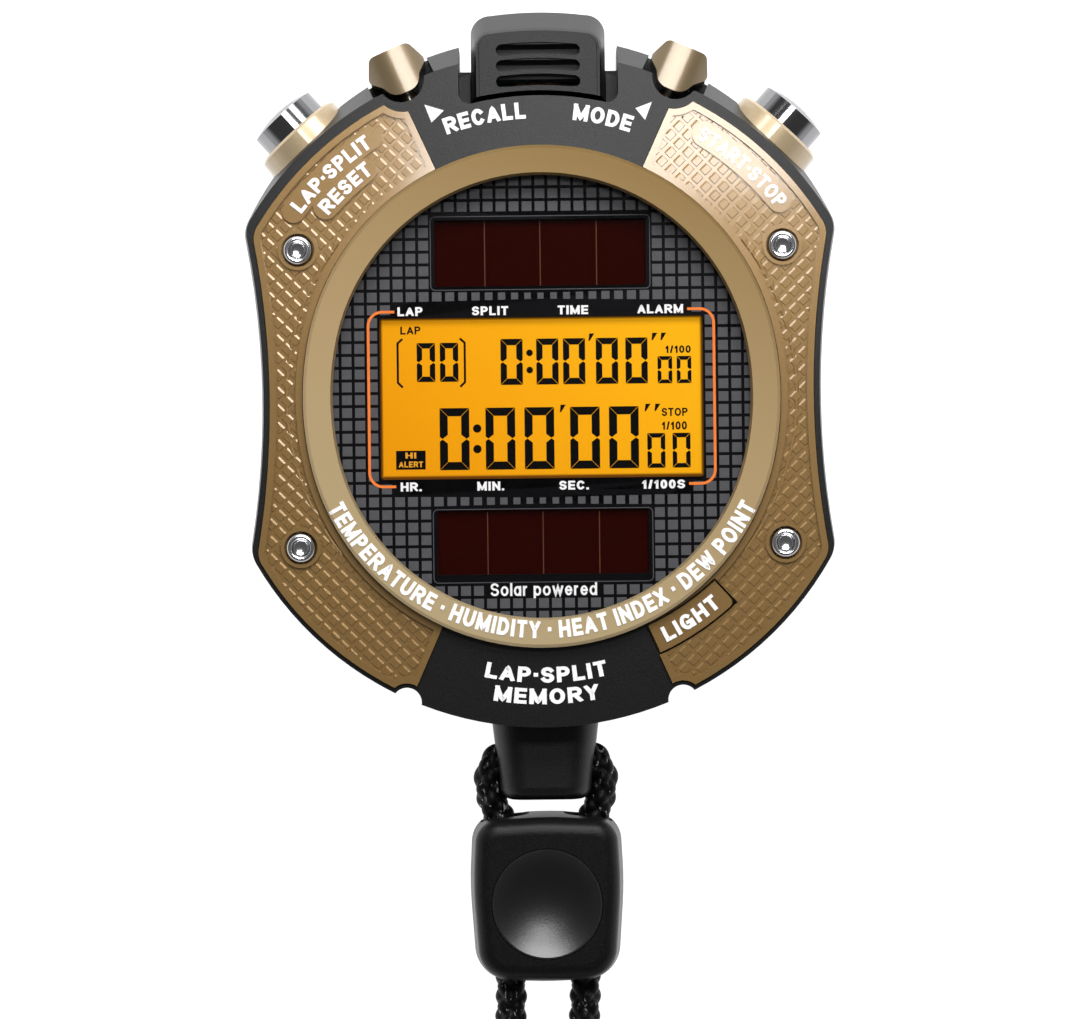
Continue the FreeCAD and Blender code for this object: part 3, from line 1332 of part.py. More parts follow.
def all_pieces():
    pieces = {
        "front_case": front_case(),
        "rear_cover": rear_cover(),
        "case_gasket": case_gasket(),
        "rear_cover_screws": rear_cover_screws(),
        "bezel_ring": bezel_ring(),
        "lens": lens(),
        "left_side_plate": left_side_plate(),
        "right_side_plate": right_side_plate(),
        "side_plate_screws": side_plate_screws(),
        "dial_plate": dial_plate(),
        "solar_cells": solar_cells(),
        "lcd_glass": lcd_glass(),
        "front_polariser": front_polariser(),
        "rear_reflector": rear_reflector(),
        "backlight_panel": backlight_panel(),
        "display_frame": display_frame(),
        "contact_strips": contact_strips(),
        "circuit_board": circuit_board(),
        "board_screws": board_screws(),
        "main_chip": main_chip(),
        "quartz_crystal": quartz_crystal(),
        "buzzer_disc": buzzer_disc(),
        "buzzer_contact": buzzer_contact(),
        "battery_contacts": battery_contacts(),
        "coin_cell": coin_cell(),
        "battery_door": battery_door(),
        "battery_door_seal": battery_door_seal(),
        "sensor_pod": sensor_pod(),
        "vent_grille": vent_grille(),
        "vent_filter": vent_filter(),
        "sensor_board": sensor_board(),
        "humidity_sensor": humidity_sensor(),
        "sensor_flex": sensor_flex(),
        "light_key": light_key(),
        "light_key_spring": light_key_spring(),
        "light_switch": light_switch(),
        "cord_lock_body": cord_lock_body(),
        "cord_lock_button": cord_lock_button(),
        "cord_lock_spring": cord_lock_spring(),
        "lanyard_coil": lanyard_coil(),
        "lanyard_end_sleeve": lanyard_end_sleeve(),
        "coil_tie": coil_tie(),
    }
    pieces.update(turned_pieces())
    pieces.update(cord_legs())
    return pieces


def main():
    os.makedirs("parts", exist_ok=True)
    for name, shape in all_pieces().items():
        solids = len(shape.Solids)
        if not shape.isValid() or solids == 0 or shape.Volume <= 0:
            print("PROBLEM", name, "valid", shape.isValid(), "solids", solids)
        print(f"{name}: {solids} solid, {shape.Volume:.1f} mm3")
        shape.exportStep(f"parts/{name}.step")


main()
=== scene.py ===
"""Looks of a solar sports stopwatch on a neck cord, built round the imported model.  Lengths are in metres.

The watch lies on its back, dial up.  The dial axis is x = y = 0 and 12 o'clock is +Y.  Printed marks
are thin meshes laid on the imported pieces; raised letters are solid, and the plates' tiles are sheets.
"""
import bpy
import math
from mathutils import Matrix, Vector
from mathutils.bvhtree import BVHTree


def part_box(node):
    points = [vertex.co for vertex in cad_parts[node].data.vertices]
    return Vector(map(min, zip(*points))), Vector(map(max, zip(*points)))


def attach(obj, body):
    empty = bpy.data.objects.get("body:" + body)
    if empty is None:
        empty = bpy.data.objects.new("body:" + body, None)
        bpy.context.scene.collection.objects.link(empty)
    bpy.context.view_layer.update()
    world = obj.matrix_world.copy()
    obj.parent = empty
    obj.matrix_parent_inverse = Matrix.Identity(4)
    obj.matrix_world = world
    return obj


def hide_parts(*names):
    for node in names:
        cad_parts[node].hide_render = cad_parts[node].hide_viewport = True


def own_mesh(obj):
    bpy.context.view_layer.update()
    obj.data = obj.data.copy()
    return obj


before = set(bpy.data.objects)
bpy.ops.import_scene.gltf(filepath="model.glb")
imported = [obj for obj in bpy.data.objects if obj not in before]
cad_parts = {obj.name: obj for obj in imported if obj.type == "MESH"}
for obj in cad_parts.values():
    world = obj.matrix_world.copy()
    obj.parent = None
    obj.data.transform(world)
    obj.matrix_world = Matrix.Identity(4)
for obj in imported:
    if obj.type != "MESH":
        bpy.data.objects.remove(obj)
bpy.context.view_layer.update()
MM = 0.001

# -------- levels read from the frame, and sizes that several sections share
DIAL_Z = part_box("dial_plate")[1].z
LCD_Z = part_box("front_polariser")[1].z
CELL_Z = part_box("solar_cells")[1].z
PRINT_LIFT = 0.012 * MM  # printed marks stand this far off their surface
PRINT_THICK = 0.02 * MM
WINDOW_HALF_X = 18.05 * MM  # half sizes of the display's window
WINDOW_HALF_Y = 9.0 * MM
LEFT_PUSHER_ANGLE = 132.0
RIGHT_PUSHER_ANGLE = 48.0
PUSHER_FROST_FROM = 43.15 * MM  # distance from the dial axis at which a pusher's frosted end starts
SOFT_WIDTH = 0.14 * MM  # rounding of the plates' and keys' edges
SOFT_ANGLE = math.radians(40)
MITRE_LIMIT = 0.35  # stops the corner of a sharp bend from running far out

# -------- view
VIEW_WIDTH = 120.3 * MM  # what the picture's width takes in at the face
VIEW_CENTRE = Vector((-0.33 * MM, -12.6 * MM, 17.6 * MM))
VIEW_ROLL = math.radians(-0.65)
CAMERA_HEIGHT = 0.62
SENSOR = 36.0


# ======== small helpers
def polar(radius, degrees, z=0.0):
    angle = math.radians(degrees)
    return Vector((radius * math.cos(angle), radius * math.sin(angle), z))


def new_object(name, data):
    thing = bpy.data.objects.new(name, data)
    bpy.context.scene.collection.objects.link(thing)
    return thing


def mesh_piece(name, vertices, faces, material, body="case"):
    """New mesh object that rides on a body."""
    mesh = bpy.data.meshes.new(name)
    mesh.from_pydata([tuple(v) for v in vertices], [], faces)
    mesh.update()
    mesh.materials.append(MATERIALS[material])
    piece = new_object(name, mesh)
    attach(piece, body)
    return piece


def dress(node, material):
    """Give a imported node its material."""
    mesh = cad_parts[node].data
    mesh.materials.clear()
    mesh.materials.append(MATERIALS[material])


def soften(node):
    """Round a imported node's sharp edges a little."""
    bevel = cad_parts[node].modifiers.new("soft_edges", "BEVEL")
    bevel.width = SOFT_WIDTH
    bevel.segments = 3
    bevel.limit_method = "ANGLE"
    bevel.angle_limit = SOFT_ANGLE


def add_prism(vertices, faces, outline, low, high):
    """Add a closed prism over an outline of (x, y)."""
    first = len(vertices)
    count = len(outline)
    vertices += [(x, y, z) for z in (low, high) for x, y in outline]
    faces.append([first + count + k for k in range(count)])
    faces.append([first + k for k in range(count)][::-1])
    for k in range(count):
        after = (k + 1) % count
        faces.append([first + k, first + after, first + count + after, first + count + k])


def add_skin(vertices, faces, rings):
    """Add a closed skin over rings of points, each joined to the next, with flat ends."""
    first, around = len(vertices), len(rings[0])
    for ring in rings:
        vertices += ring
    for row in range(len(rings) - 1):
        near = first + row * around
        far = near + around
        for k in range(around):
            after = (k + 1) % around
            faces.append([near + k, near + after, far + after, far + k])
    faces.append([first + k for k in range(around)][::-1])
    faces.append([len(vertices) - around + k for k in range(around)])


def rectangle(x, y, width, height):
    return [
        (x - width / 2, y - height / 2),
        (x + width / 2, y - height / 2),
        (x + width / 2, y + height / 2),
        (x - width / 2, y + height / 2),
    ]


def add_ribbon(vertices, faces, path, width, low, high, closed=False, flat=None):
    """Add a band of even width along (x, y) points, with mitred corners; flat cuts it at two heights."""
    points = [Vector(point[:2]) for point in path]
    count = len(points)
    sides = []
    for index, point in enumerate(points):
        back = points[index - 1] if closed or index > 0 else None
        ahead = points[(index + 1) % count] if closed or index < count - 1 else None
        into = (point - back).normalized() if back is not None else (ahead - point).normalized()
        out = (ahead - point).normalized() if ahead is not None else into
        normal = Vector((-into.y - out.y, into.x + out.x)).normalized()
        reach = width / 2 / max(normal.dot(Vector((-into.y, into.x))), MITRE_LIMIT)
        end = Vector((0, 0))
        if back is None:
            end = into * (-width / 2)
        elif ahead is None:
            end = out * (width / 2)
        for side in (-1, 1):
            corner = point + end + normal * (reach * side)
            if flat:
                corner.y = min(max(corner.y, flat[0]), flat[1])
            sides.append(corner)
    first = len(vertices)
    vertices += [(corner.x, corner.y, z) for z in (low, high) for corner in sides]
    lift = len(sides)
    spans = count if closed else count - 1
    for index in range(spans):
        right, left = first + 2 * index, first + 2 * index + 1
        next_right = first + 2 * ((index + 1) % count)
        next_left = next_right + 1
        faces.append([right + lift, next_right + lift, next_left + lift, left + lift])
        faces.append([left, next_left, next_right, right])
        faces.append([right, next_right, next_right + lift, right + lift])
        faces.append([next_left, left, left + lift, next_left + lift])
    if not closed:
        last = first + 2 * (count - 1)
        faces.append([first, first + lift, first + 1 + lift, first + 1])
        faces.append([last, last + 1, last + 1 + lift, last + lift])


# ======== materials
COAT_ROUGHNESS = 0.12
BROAD_PATCH = 9 * MM  # size of the patches in which a surface's roughness varies
DEEP_BLACK = (0.0025, 0.0025, 0.0028)


class Nodes:
    """Adds nodes to the tree of a material or a world, its owner, and joins them."""

    def __init__(self, owner):
        owner.use_nodes = True
        self.owner = owner
        self.tree = owner.node_tree

    def feed(self, node, inputs):
        """Join a node's inputs to other nodes' outputs, or give them plain values."""
        for name, value in inputs.items():
            if isinstance(value, bpy.types.NodeSocket):
                self.tree.links.new(value, node.inputs[name])
            else:
                node.inputs[name].default_value = value

    def shade(self, inputs):
        """Feed the material's shader."""
        self.feed(self.tree.nodes["Principled BSDF"], inputs)

    def node(self, kind, inputs):
        node = self.tree.nodes.new("ShaderNode" + kind)
        self.feed(node, inputs)
        return node

    def place(self, system="Object"):
        return self.node("TexCoord", {}).outputs[system]

    def noise(self, size, detail=3.0, stretch=None):
        """Noise in the object's own coordinates; size is the length of one wave."""
        place = self.place()
        if stretch:
            place = self.node("Mapping", {"Vector": place, "Scale": stretch}).outputs["Vector"]
        inputs = {"Vector": place, "Scale": 1.0 / size, "Detail": detail}
        return self.node("TexNoise", inputs).outputs["Fac"]

    def ramp(self, source, stops):
        """Colour that follows a value through stops of (value, colour)."""
        ramp = self.node("ValToRGB", {"Fac": source})
        elements = ramp.color_ramp.elements
        while len(elements) < len(stops):
            elements.new(0.5)
        for element, (value, colour) in zip(elements, stops):
            element.position = value
            element.color = (*colour, 1.0)
        return ramp.outputs["Color"]

    def bump(self, source, distance):
        bump = self.node("Bump", {"Height": source, "Distance": distance, "Strength": 1.0})
        self.shade({"Normal": bump.outputs["Normal"]})

    def spread(self, source, limits):
        """Value moved to another range."""
        return self.node("MapRange", {"Value": source, **limits}).outputs["Result"]

    def maths(self, operation, first, second):
        node = self.node("Math", {0: first, 1: second})
        node.operation = operation
        return node.outputs["Value"]

    def mix(self, blend, share, first, second):
        """Two colours blended, with the given share of the second."""
        mix = self.node("Mix", {})
        mix.data_type = "RGBA"
        mix.blend_type = blend
        self.feed(mix, {0: share, 6: first, 7: second})
        return mix.outputs[2]

    def slope(self, direction, start, end):
        """Value that goes from 0 to 1 between two distances along a direction in the object's coordinates."""
        dot = self.node("VectorMath", {0: self.place(), 1: direction})
        dot.operation = "DOT_PRODUCT"
        return self.spread(dot.outputs["Value"], {"From Min": start, "From Max": end})


def new_look(name, settings):
    """Nodes of a new material; settings are its shader's values by name."""
    look = Nodes(bpy.data.materials.new(name))
    look.shade(settings)
    return look


def surface(
    name, colour, roughness, metallic=0.0, grain=(0.5, 0.0), tint=0.25, rough_spread=0.0, coat=0.0, shine=0.5
):
    """Plastic, metal or rubber: a colour that varies by tint, and a grain of (size, depth) in millimetres."""
    settings = {"Metallic": metallic, "Roughness": roughness, "Specular IOR Level": shine}
    look = new_look(name, {**settings, "Coat Weight": coat, "Coat Roughness": COAT_ROUGHNESS})
    size, depth = grain
    noise = look.noise(size * MM)
    dark = [c * (1 - tint) for c in colour]
    light = [min(c * (1 + tint), 1.0) for c in colour]
    look.shade({"Base Color": look.ramp(noise, [(0.36, dark), (0.64, light)])})
    if depth:
        look.bump(noise, depth * MM)
    if rough_spread:
        limits = {"To Min": roughness - rough_spread, "To Max": roughness + rough_spread}
        look.shade({"Roughness": look.spread(look.noise(BROAD_PATCH, 2.0), limits)})
    return look.owner


def printed(name, colour, roughness=0.45, painted_glow=0.0, shine=0.1):
    """Ink or moulded lettering with a very slight mottle; a glow strength gives it a painted glow."""
    material = surface(name, colour, roughness, tint=0.04, shine=shine)
    if painted_glow:
        Nodes(material).shade({"Emission Color": (*colour, 1.0), "Emission Strength": painted_glow})
    return material


def clear_cover(name):
    """Clear, thin, glossy window: see-through with a weak reflection."""
    look = new_look(name, {})
    look.tree.nodes.remove(look.tree.nodes["Principled BSDF"])
    share = look.node("Fresnel", {"IOR": 1.2}).outputs["Fac"]
    clear = look.node("BsdfTransparent", {}).outputs["BSDF"]
    gloss = look.node("BsdfGlossy", {"Roughness": 0.03}).outputs["BSDF"]
    mix = look.node("MixShader", {0: share, 1: clear, 2: gloss})
    look.feed(look.tree.nodes["Material Output"], {"Surface": mix.outputs["Shader"]})
    return look.owner


def amber_painted_glow(name):
    """Amber display film that glows as painted light, painted brighter to the upper right, with a painted
    shadow line inside its window's edges.
    """
    # Painted glow: the film emits light of its own colour though it is no lamp.
    look = new_look(name, {"Emission Strength": 0.6, "Specular IOR Level": 0.05, "Roughness": 0.5})
    # Painted light: the film's colour brightens towards the upper right.
    painted_glow = look.slope((0.77, 0.64, 0), -16 * MM, 16 * MM)
    colour = look.ramp(painted_glow, [(0.0, (0.57, 0.218, 0.0005)), (1.0, (0.65, 0.31, 0.003))])
    across = look.slope((1, 0, 0), -WINDOW_HALF_X, WINDOW_HALF_X)
    up = look.slope((0, 1, 0), -WINDOW_HALF_Y, WINDOW_HALF_Y)
    edges = []
    # Painted shadow: a dark line inside each edge of the window, where the frame's shade falls.
    for value, line in ((across, 0.010), (up, 0.022)):
        inside = look.maths("MINIMUM", value, look.maths("SUBTRACT", 1.0, value))
        edges.append(look.maths("DIVIDE", inside, line))
    nearest = look.maths("MINIMUM", *edges)
    shade = look.ramp(nearest, [(0.35, (0.16, 0.12, 0.10)), (1.0, (1.0, 1.0, 1.0))])
    amber_with_painted_light = look.mix("MULTIPLY", 1.0, colour, shade)
    # The painted light and painted shadow feed both the colour and the emission.
    look.shade({"Base Color": amber_with_painted_light, "Emission Color": amber_with_painted_light})
    return look.owner


def ring_gold_painted_light(name):
    """Satin gold with painted shade towards its top and painted light that pales it towards its lower edge."""
    look = new_look(name, {"Metallic": 0.45, "Roughness": 0.42})
    # Painted shade and painted light: the colour darkens towards the top and pales towards the lower left.
    down = look.slope((-0.3, -0.95, 0), -27 * MM, 27 * MM)
    stops = [(0.0, (0.195, 0.118, 0.032)), (0.5, (0.385, 0.266, 0.125)), (1.0, (0.50, 0.385, 0.21))]
    look.shade({"Base Color": look.ramp(down, stops)})
    look.bump(look.noise(0.1 * MM), 0.002 * MM)
    return look.owner


def pusher_chrome(name, degrees):
    """Dark polished side and a pale frosted end, split at a distance along the pusher's axis."""
    look = new_look(name, {"Metallic": 1.0})
    end = look.slope(tuple(polar(1.0, degrees)), PUSHER_FROST_FROM, PUSHER_FROST_FROM + 0.1 * MM)
    frost = look.ramp(look.noise(0.12 * MM), [(0.4, (0.30, 0.30, 0.32)), (0.6, (0.55, 0.55, 0.57))])
    look.shade({
        "Base Color": look.mix("MIX", end, (0.30, 0.30, 0.31, 1.0), frost),
        "Roughness": look.spread(end, {"To Min": 0.12, "To Max": 0.5}),
    })
    return look.owner


def flecked_cord(name):
    """Black braid with short pale fibres."""
    look = new_look(name, {"Roughness": 0.42, "Specular IOR Level": 0.15})
    fibres = look.noise(0.42 * MM, 5.0, (1.0, 0.45, 1.0))
    stops = [(0.57, DEEP_BLACK), (0.63, (0.012, 0.012, 0.012)), (0.69, (0.42, 0.42, 0.41))]
    look.shade({"Base Color": look.ramp(fibres, stops)})
    look.bump(look.noise(0.1 * MM), 0.02 * MM)
    return look.owner


MATERIALS = {
    "case": surface("case_plastic", (0.0042, 0.0042, 0.0046), 0.40, grain=(0.16, 0.02), tint=0.6, shine=0.4),
    "cover": surface("cover_plastic", (0.012, 0.012, 0.013), 0.5, grain=(0.22, 0.03), tint=0.3),
    "plate": surface("plate_gold", (0.265, 0.155, 0.048), 0.36, 0.35, (0.12, 0.003), 0.1, 0.03, 1.0),
    "ring": ring_gold_painted_light("ring_gold"),
    "key": surface("key_gold", (0.175, 0.126, 0.066), 0.34, 0.45, (0.15, 0.002), 0.06, 0.04, 1.0),
    "collar": surface("collar_gold", (0.50, 0.385, 0.235), 0.36, 0.35, (0.15, 0.002), 0.06, 0.04, 1.0),
    "chrome": surface("polished_chrome", (0.75, 0.75, 0.77), 0.16, 1.0, (0.5, 0.0), 0.02, 0.03),
    "left_pusher": pusher_chrome("left_pusher_chrome", LEFT_PUSHER_ANGLE),
    "right_pusher": pusher_chrome("right_pusher_chrome", RIGHT_PUSHER_ANGLE),
    "steel": surface("plain_steel", (0.5, 0.5, 0.51), 0.32, 1.0, (0.2, 0.002), 0.08),
    "spring": surface("spring_steel", (0.42, 0.42, 0.43), 0.3, 1.0, (0.2, 0.0), 0.08),
    "brass": surface("plain_brass", (0.65, 0.45, 0.16), 0.3, 1.0, (0.3, 0.001), 0.08),
    "dial": surface("dial_black", (0.003, 0.003, 0.004), 0.35, grain=(0.4, 0.0), tint=0.1, shine=0.05),
    "cell": surface("solar_film", (0.022, 0.0012, 0.0002), 0.12, grain=(1.2, 0.0), tint=0.05, shine=0.05),
    "cell_line": printed("cell_line", (0.13, 0.05, 0.025)),
    "frame_line": printed("frame_line", (0.10, 0.10, 0.11)),
    "square": printed("square_grey", (0.10, 0.10, 0.108)),
    # label_white, bracket_orange and badge_text are given a painted glow.
    "white": printed("label_white", (0.90, 0.90, 0.91), painted_glow=0.12),
    "orange": printed("bracket_orange", (0.92, 0.22, 0.04), painted_glow=0.12),
    "segment": printed("segment_black", (0.002, 0.002, 0.002), 0.3, shine=0.05),
    "badge_text": printed("badge_text", (0.75, 0.33, 0.02), painted_glow=0.2),
    "lens": clear_cover("lens_clear"),
    "film": surface("optical_film", (0.35, 0.35, 0.34), 0.3, tint=0.05),
    "light_panel": surface("light_panel", (0.75, 0.75, 0.7), 0.25, tint=0.03),
    "frame_white": surface("moulded_white", (0.7, 0.7, 0.68), 0.45, grain=(0.4, 0.004), tint=0.03),
    "rubber": surface("black_rubber", (0.012, 0.012, 0.012), 0.62, grain=(0.2, 0.006), tint=0.2),
    "strip": surface("strip_rubber", (0.25, 0.25, 0.26), 0.6, grain=(0.2, 0.004), tint=0.15),
    "board": surface("board_lacquer", (0.012, 0.09, 0.03), 0.3, grain=(0.6, 0.002), tint=0.2),
    "resin": surface("cast_resin", (0.008, 0.008, 0.008), 0.18, grain=(0.5, 0.002), tint=0.2),
    "switch": surface("switch_plastic", (0.03, 0.03, 0.03), 0.4, grain=(0.3, 0.004), tint=0.2),
    "flex": surface("flex_film", (0.4, 0.16, 0.02), 0.3, tint=0.08),
    "filter": surface("filter_cloth", (0.05, 0.05, 0.05), 0.8, grain=(0.1, 0.01), tint=0.4),
    "lock": surface("lock_plastic", (0.006, 0.006, 0.0066), 0.36, grain=(0.14, 0.02), tint=0.5, shine=0.15),
    "dish": surface("dish_plastic", DEEP_BLACK, 0.31, grain=(0.14, 0.015), tint=0.4, shine=0.85),
    "cord": flecked_cord("cord_black"),
    "amber": amber_painted_glow("amber_painted_glow"),
}

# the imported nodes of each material
NODES_OF = {
    "case": "front_case sensor_pod vent_grille",
    "cover": "rear_cover battery_door",
    "plate": "left_side_plate right_side_plate light_key",
    "ring": "bezel_ring",
    "key": "recall_key mode_key",
    "collar": "lap_reset_collar start_stop_collar",
    "chrome": "side_plate_screws",
    "left_pusher": "lap_reset_pusher",
    "right_pusher": "start_stop_pusher",
    "steel": "rear_cover_screws board_screws battery_contacts coin_cell quartz_crystal"
             " lap_reset_retaining_clip start_stop_retaining_clip",
    "spring": "buzzer_contact lap_reset_spring start_stop_spring light_key_spring cord_lock_spring",
    "brass": "buzzer_disc",
    "lens": "lens",
    "dial": "dial_plate",
    "cell": "solar_cells",
    "amber": "lcd_glass front_polariser",
    "film": "rear_reflector",
    "light_panel": "backlight_panel",
    "frame_white": "display_frame",
    "strip": "contact_strips",
    "rubber": "case_gasket battery_door_seal small_key_boots coil_tie"
              " lap_reset_stem_seal start_stop_stem_seal",
    "board": "circuit_board sensor_board",
    "resin": "main_chip humidity_sensor",
    "flex": "sensor_flex",
    "filter": "vent_filter",
    "switch": "light_switch small_key_switches lap_reset_switch start_stop_switch",
    "lock": "cord_lock_body lanyard_end_sleeve",
    "dish": "cord_lock_button",
    "cord": "lanyard_coil lanyard_left_leg lanyard_right_leg",
}
for look, dressed_nodes in NODES_OF.items():
    for dressed_node in dressed_nodes.split():
        dress(dressed_node, look)
for soft_node in ("left_side_plate", "right_side_plate", "recall_key", "mode_key", "light_key"):
    soften(soft_node)


# ======== lettering
def bend(centre_x, centre_y, radius_x, radius_y, start, end, steps=10):
    """Points along part of an ellipse, in degrees."""
    points = []
    for k in range(steps + 1):
        angle = math.radians(start + (end - start) * k / steps)
        points.append((centre_x + radius_x * math.cos(angle), centre_y + radius_y * math.sin(angle)))
    return points


BOWL = bend(0.55, 0.735, 0.45, 0.265, 90, -90)
SMALL_ROUND = bend(0.5, 0.36, 0.5, 0.36, 0, 345, 23)
LOWER_S = bend(0.5, 0.255, 0.5, 0.255, 90, -155, 12)
STEM = [(0, 0), (0, 1)]

# Width of each letter and its strokes, as shares of the letter's box; a closed stroke is named "ring".
LETTERS = {
    "A": (0.74, [[(0, 0), (0.5, 1), (1, 0)], [(0.2, 0.28), (0.8, 0.28)]]),
    "C": (0.72, [bend(0.5, 0.5, 0.5, 0.5, 42, 318, 18)]),
    "D": (0.72, [STEM, [(0, 1)] + bend(0.42, 0.5, 0.58, 0.5, 90, -90, 14) + [(0, 0)]]),
    "E": (0.62, [STEM, [(0, 1), (1, 1)], [(0, 0.5), (0.92, 0.5)], [(0, 0), (1, 0)]]),
    "G": (0.75, [bend(0.5, 0.5, 0.5, 0.5, 45, 335, 18), [(0.6, 0.42), (1, 0.42), (1, 0.0)]]),
    "H": (0.72, [STEM, [(1, 0), (1, 1)], [(0, 0.5), (1, 0.5)]]),
    "I": (0.22, [[(0.5, 0), (0.5, 1)]]),
    "L": (0.60, [[(0, 1), (0, 0), (1, 0)]]),
    "M": (0.86, [STEM, [(1, 0), (1, 1)], [(0, 1), (0.5, 0.02), (1, 1)]]),
    "N": (0.72, [STEM, [(1, 0), (1, 1)], [(0, 1), (1, 0)]]),
    "O": (0.78, [["ring"] + bend(0.5, 0.5, 0.5, 0.5, 0, 345, 23)]),
    "P": (0.66, [STEM, [(0, 1)] + BOWL + [(0, 0.47)]]),
    "R": (0.72, [STEM, [(0, 1)] + BOWL + [(0, 0.47)], [(0.5, 0.47), (1, 0)]]),
    "S": (0.66, [bend(0.5, 0.755, 0.48, 0.245, 25, 270, 12) + LOWER_S[1:]]),
    "T": (0.64, [[(0, 1), (1, 1)], [(0.5, 0), (0.5, 1)]]),
    "U": (0.72, [[(0, 1)] + bend(0.5, 0.36, 0.5, 0.36, 180, 360, 12) + [(1, 1)]]),
    "W": (1.04, [[(0, 1), (0.24, 0), (0.5, 1), (0.76, 0), (1, 1)]]),
    "X": (0.70, [[(0, 0), (1, 1)], [(0, 1), (1, 0)]]),
    "Y": (0.70, [[(0, 1), (0.5, 0.42), (1, 1)], [(0.5, 0.42), (0.5, 0)]]),
    "0": (0.58, [["ring"] + bend(0.5, 0.5, 0.5, 0.5, 0, 345, 23)]),
    "1": (0.40, [[(0.8, 0), (0.8, 1), (0.1, 0.72)]]),
    "/": (0.36, [[(0, 0), (1, 1)]]),
    ".": (0.22, [[(0.5, 0.0), (0.5, 0.02)]]),
    "·": (0.24, [[(0.5, 0.5), (0.5, 0.52)]]),
    " ": (0.20, []),
    "a": (0.58, [["ring"] + SMALL_ROUND, [(1, 0), (1, 0.72)]]),
    "d": (0.60, [["ring"] + SMALL_ROUND, [(1, 0), (1, 1)]]),
    "e": (0.58, [bend(0.5, 0.36, 0.5, 0.36, 0, 318, 18), [(0, 0.38), (1, 0.38)]]),
    "l": (0.16, [[(0.5, 0), (0.5, 1)]]),
    "o": (0.62, [["ring"] + SMALL_ROUND]),
    "p": (0.60, [["ring"] + SMALL_ROUND, [(0, -0.3), (0, 0.72)]]),
    "r": (0.38, [[(0, 0), (0, 0.72)], [(0, 0.4)] + bend(0.8, 0.4, 0.8, 0.32, 170, 95, 6)]),
    "w": (0.86, [[(0, 0.72), (0.25, 0), (0.5, 0.72), (0.75, 0), (1, 0.72)]]),
}
LETTER_GAP = 0.13
LETTER_STEP = 0.14  # longest straight piece of a stroke
SMALL_HEIGHT = 0.72  # small letters, as a share of the tall ones
TAIL_DEPTH = 0.3
RAISED = 0.09 * MM  # how far moulded words stand out
ROOTED = 0.05 * MM  # how far their letters go down into the surface


def divided(path, longest):
    """The same line with extra points, so that it can follow a curved surface."""
    points = [path[0]]
    for (x0, y0), (x1, y1) in zip(path, path[1:]):
        parts = max(math.ceil(math.hypot(x1 - x0, y1 - y0) / longest), 1)
        points += [(x0 + (x1 - x0) * k / parts, y0 + (y1 - y0) * k / parts) for k in range(1, parts + 1)]
    return points


def lettered(words, stroke):
    """Solid letters one unit high and deep that stand on y = 0, and the width of the whole line."""
    vertices, faces = [], []
    start = 0.0
    inner = 1.0 - stroke
    for letter in words:
        width, strokes = LETTERS[letter]
        span = max(width - stroke, 0.001)
        for order, path in enumerate(strokes):
            closed = path[0] == "ring"
            points = path[1:] if closed else divided(path, LETTER_STEP)
            placed = [(start + stroke / 2 + x * span, stroke / 2 + y * inner) for x, y in points]
            lowest, highest = min(y for _, y in points), max(y for _, y in points)
            bottom = -TAIL_DEPTH if lowest < 0 else 0.0
            top = SMALL_HEIGHT * inner + stroke if highest == SMALL_HEIGHT else 1.0
            add_ribbon(vertices, faces, placed, stroke, 0.0, 1.0 - 0.04 * order, closed, (bottom, top))
        start += width + LETTER_GAP
    return vertices, faces, start - LETTER_GAP


class Marks:
    """Collects many small solids into one mesh."""

    def __init__(self):
        self.vertices = []
        self.faces = []

    def add(self, vertices, faces):
        first = len(self.vertices)
        self.vertices += [tuple(v) for v in vertices]
        self.faces += [[first + k for k in face] for face in faces]

    def words(self, rows, low, high, stroke=0.22):
        """Straight words; each row has the words, their middle's x and y, their width and height in mm."""
        for words, *sizes in rows:
            x, y, width, height = (size * MM for size in sizes)
            vertices, faces, across = lettered(words, stroke)
            scale = width / across
            placed = [
                (x + (vx - across / 2) * scale, y + (vy - 0.5) * height, low + vz * (high - low))
                for vx, vy, vz in vertices
            ]
            self.add(placed, faces)

    def curved_words(self, rows, level, stroke=0.225):
        """Raised words round the dial axis; level(x, y) is the surface height under each point.

        Each row has the words, their radius in mm, their middle's angle and the angle that they span in
        degrees, their height in mm, and whether their tops point outwards.
        """
        for words, radius, angle, span, height, outward in rows:
            vertices, faces, across = lettered(words, stroke)
            scale = math.radians(span) / across
            sign = -1 if outward else 1
            placed = []
            for vx, vy, vz in vertices:
                turn = math.radians(angle) + sign * (vx - across / 2) * scale
                reach = (radius - sign * (vy - 0.5) * height) * MM
                x, y = reach * math.cos(turn), reach * math.sin(turn)
                placed.append((x, y, level(x, y) - ROOTED + vz * (RAISED + ROOTED)))
            self.add(placed, faces)

    def prism(self, outline, low, high):
        add_prism(self.vertices, self.faces, outline, low, high)

    def ribbon(self, path, width, low, high, closed=False):
        add_ribbon(self.vertices, self.faces, path, width, low, high, closed)

    def piece(self, name, material, slot, body="case"):
        return mesh_piece(name, self.vertices, self.faces, material, body)


def height_finder(*nodes):
    """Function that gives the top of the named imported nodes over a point, or None off them."""
    depsgraph = bpy.context.evaluated_depsgraph_get()
    trees = [BVHTree.FromObject(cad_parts[node], depsgraph) for node in nodes]

    def height(x, y):
        best = None
        for tree in trees:
            hit = tree.ray_cast(Vector((x, y, 0.05)), Vector((0, 0, -1)))[0]
            if hit is not None and (best is None or hit.z > best):
                best = hit.z
        return best

    return height


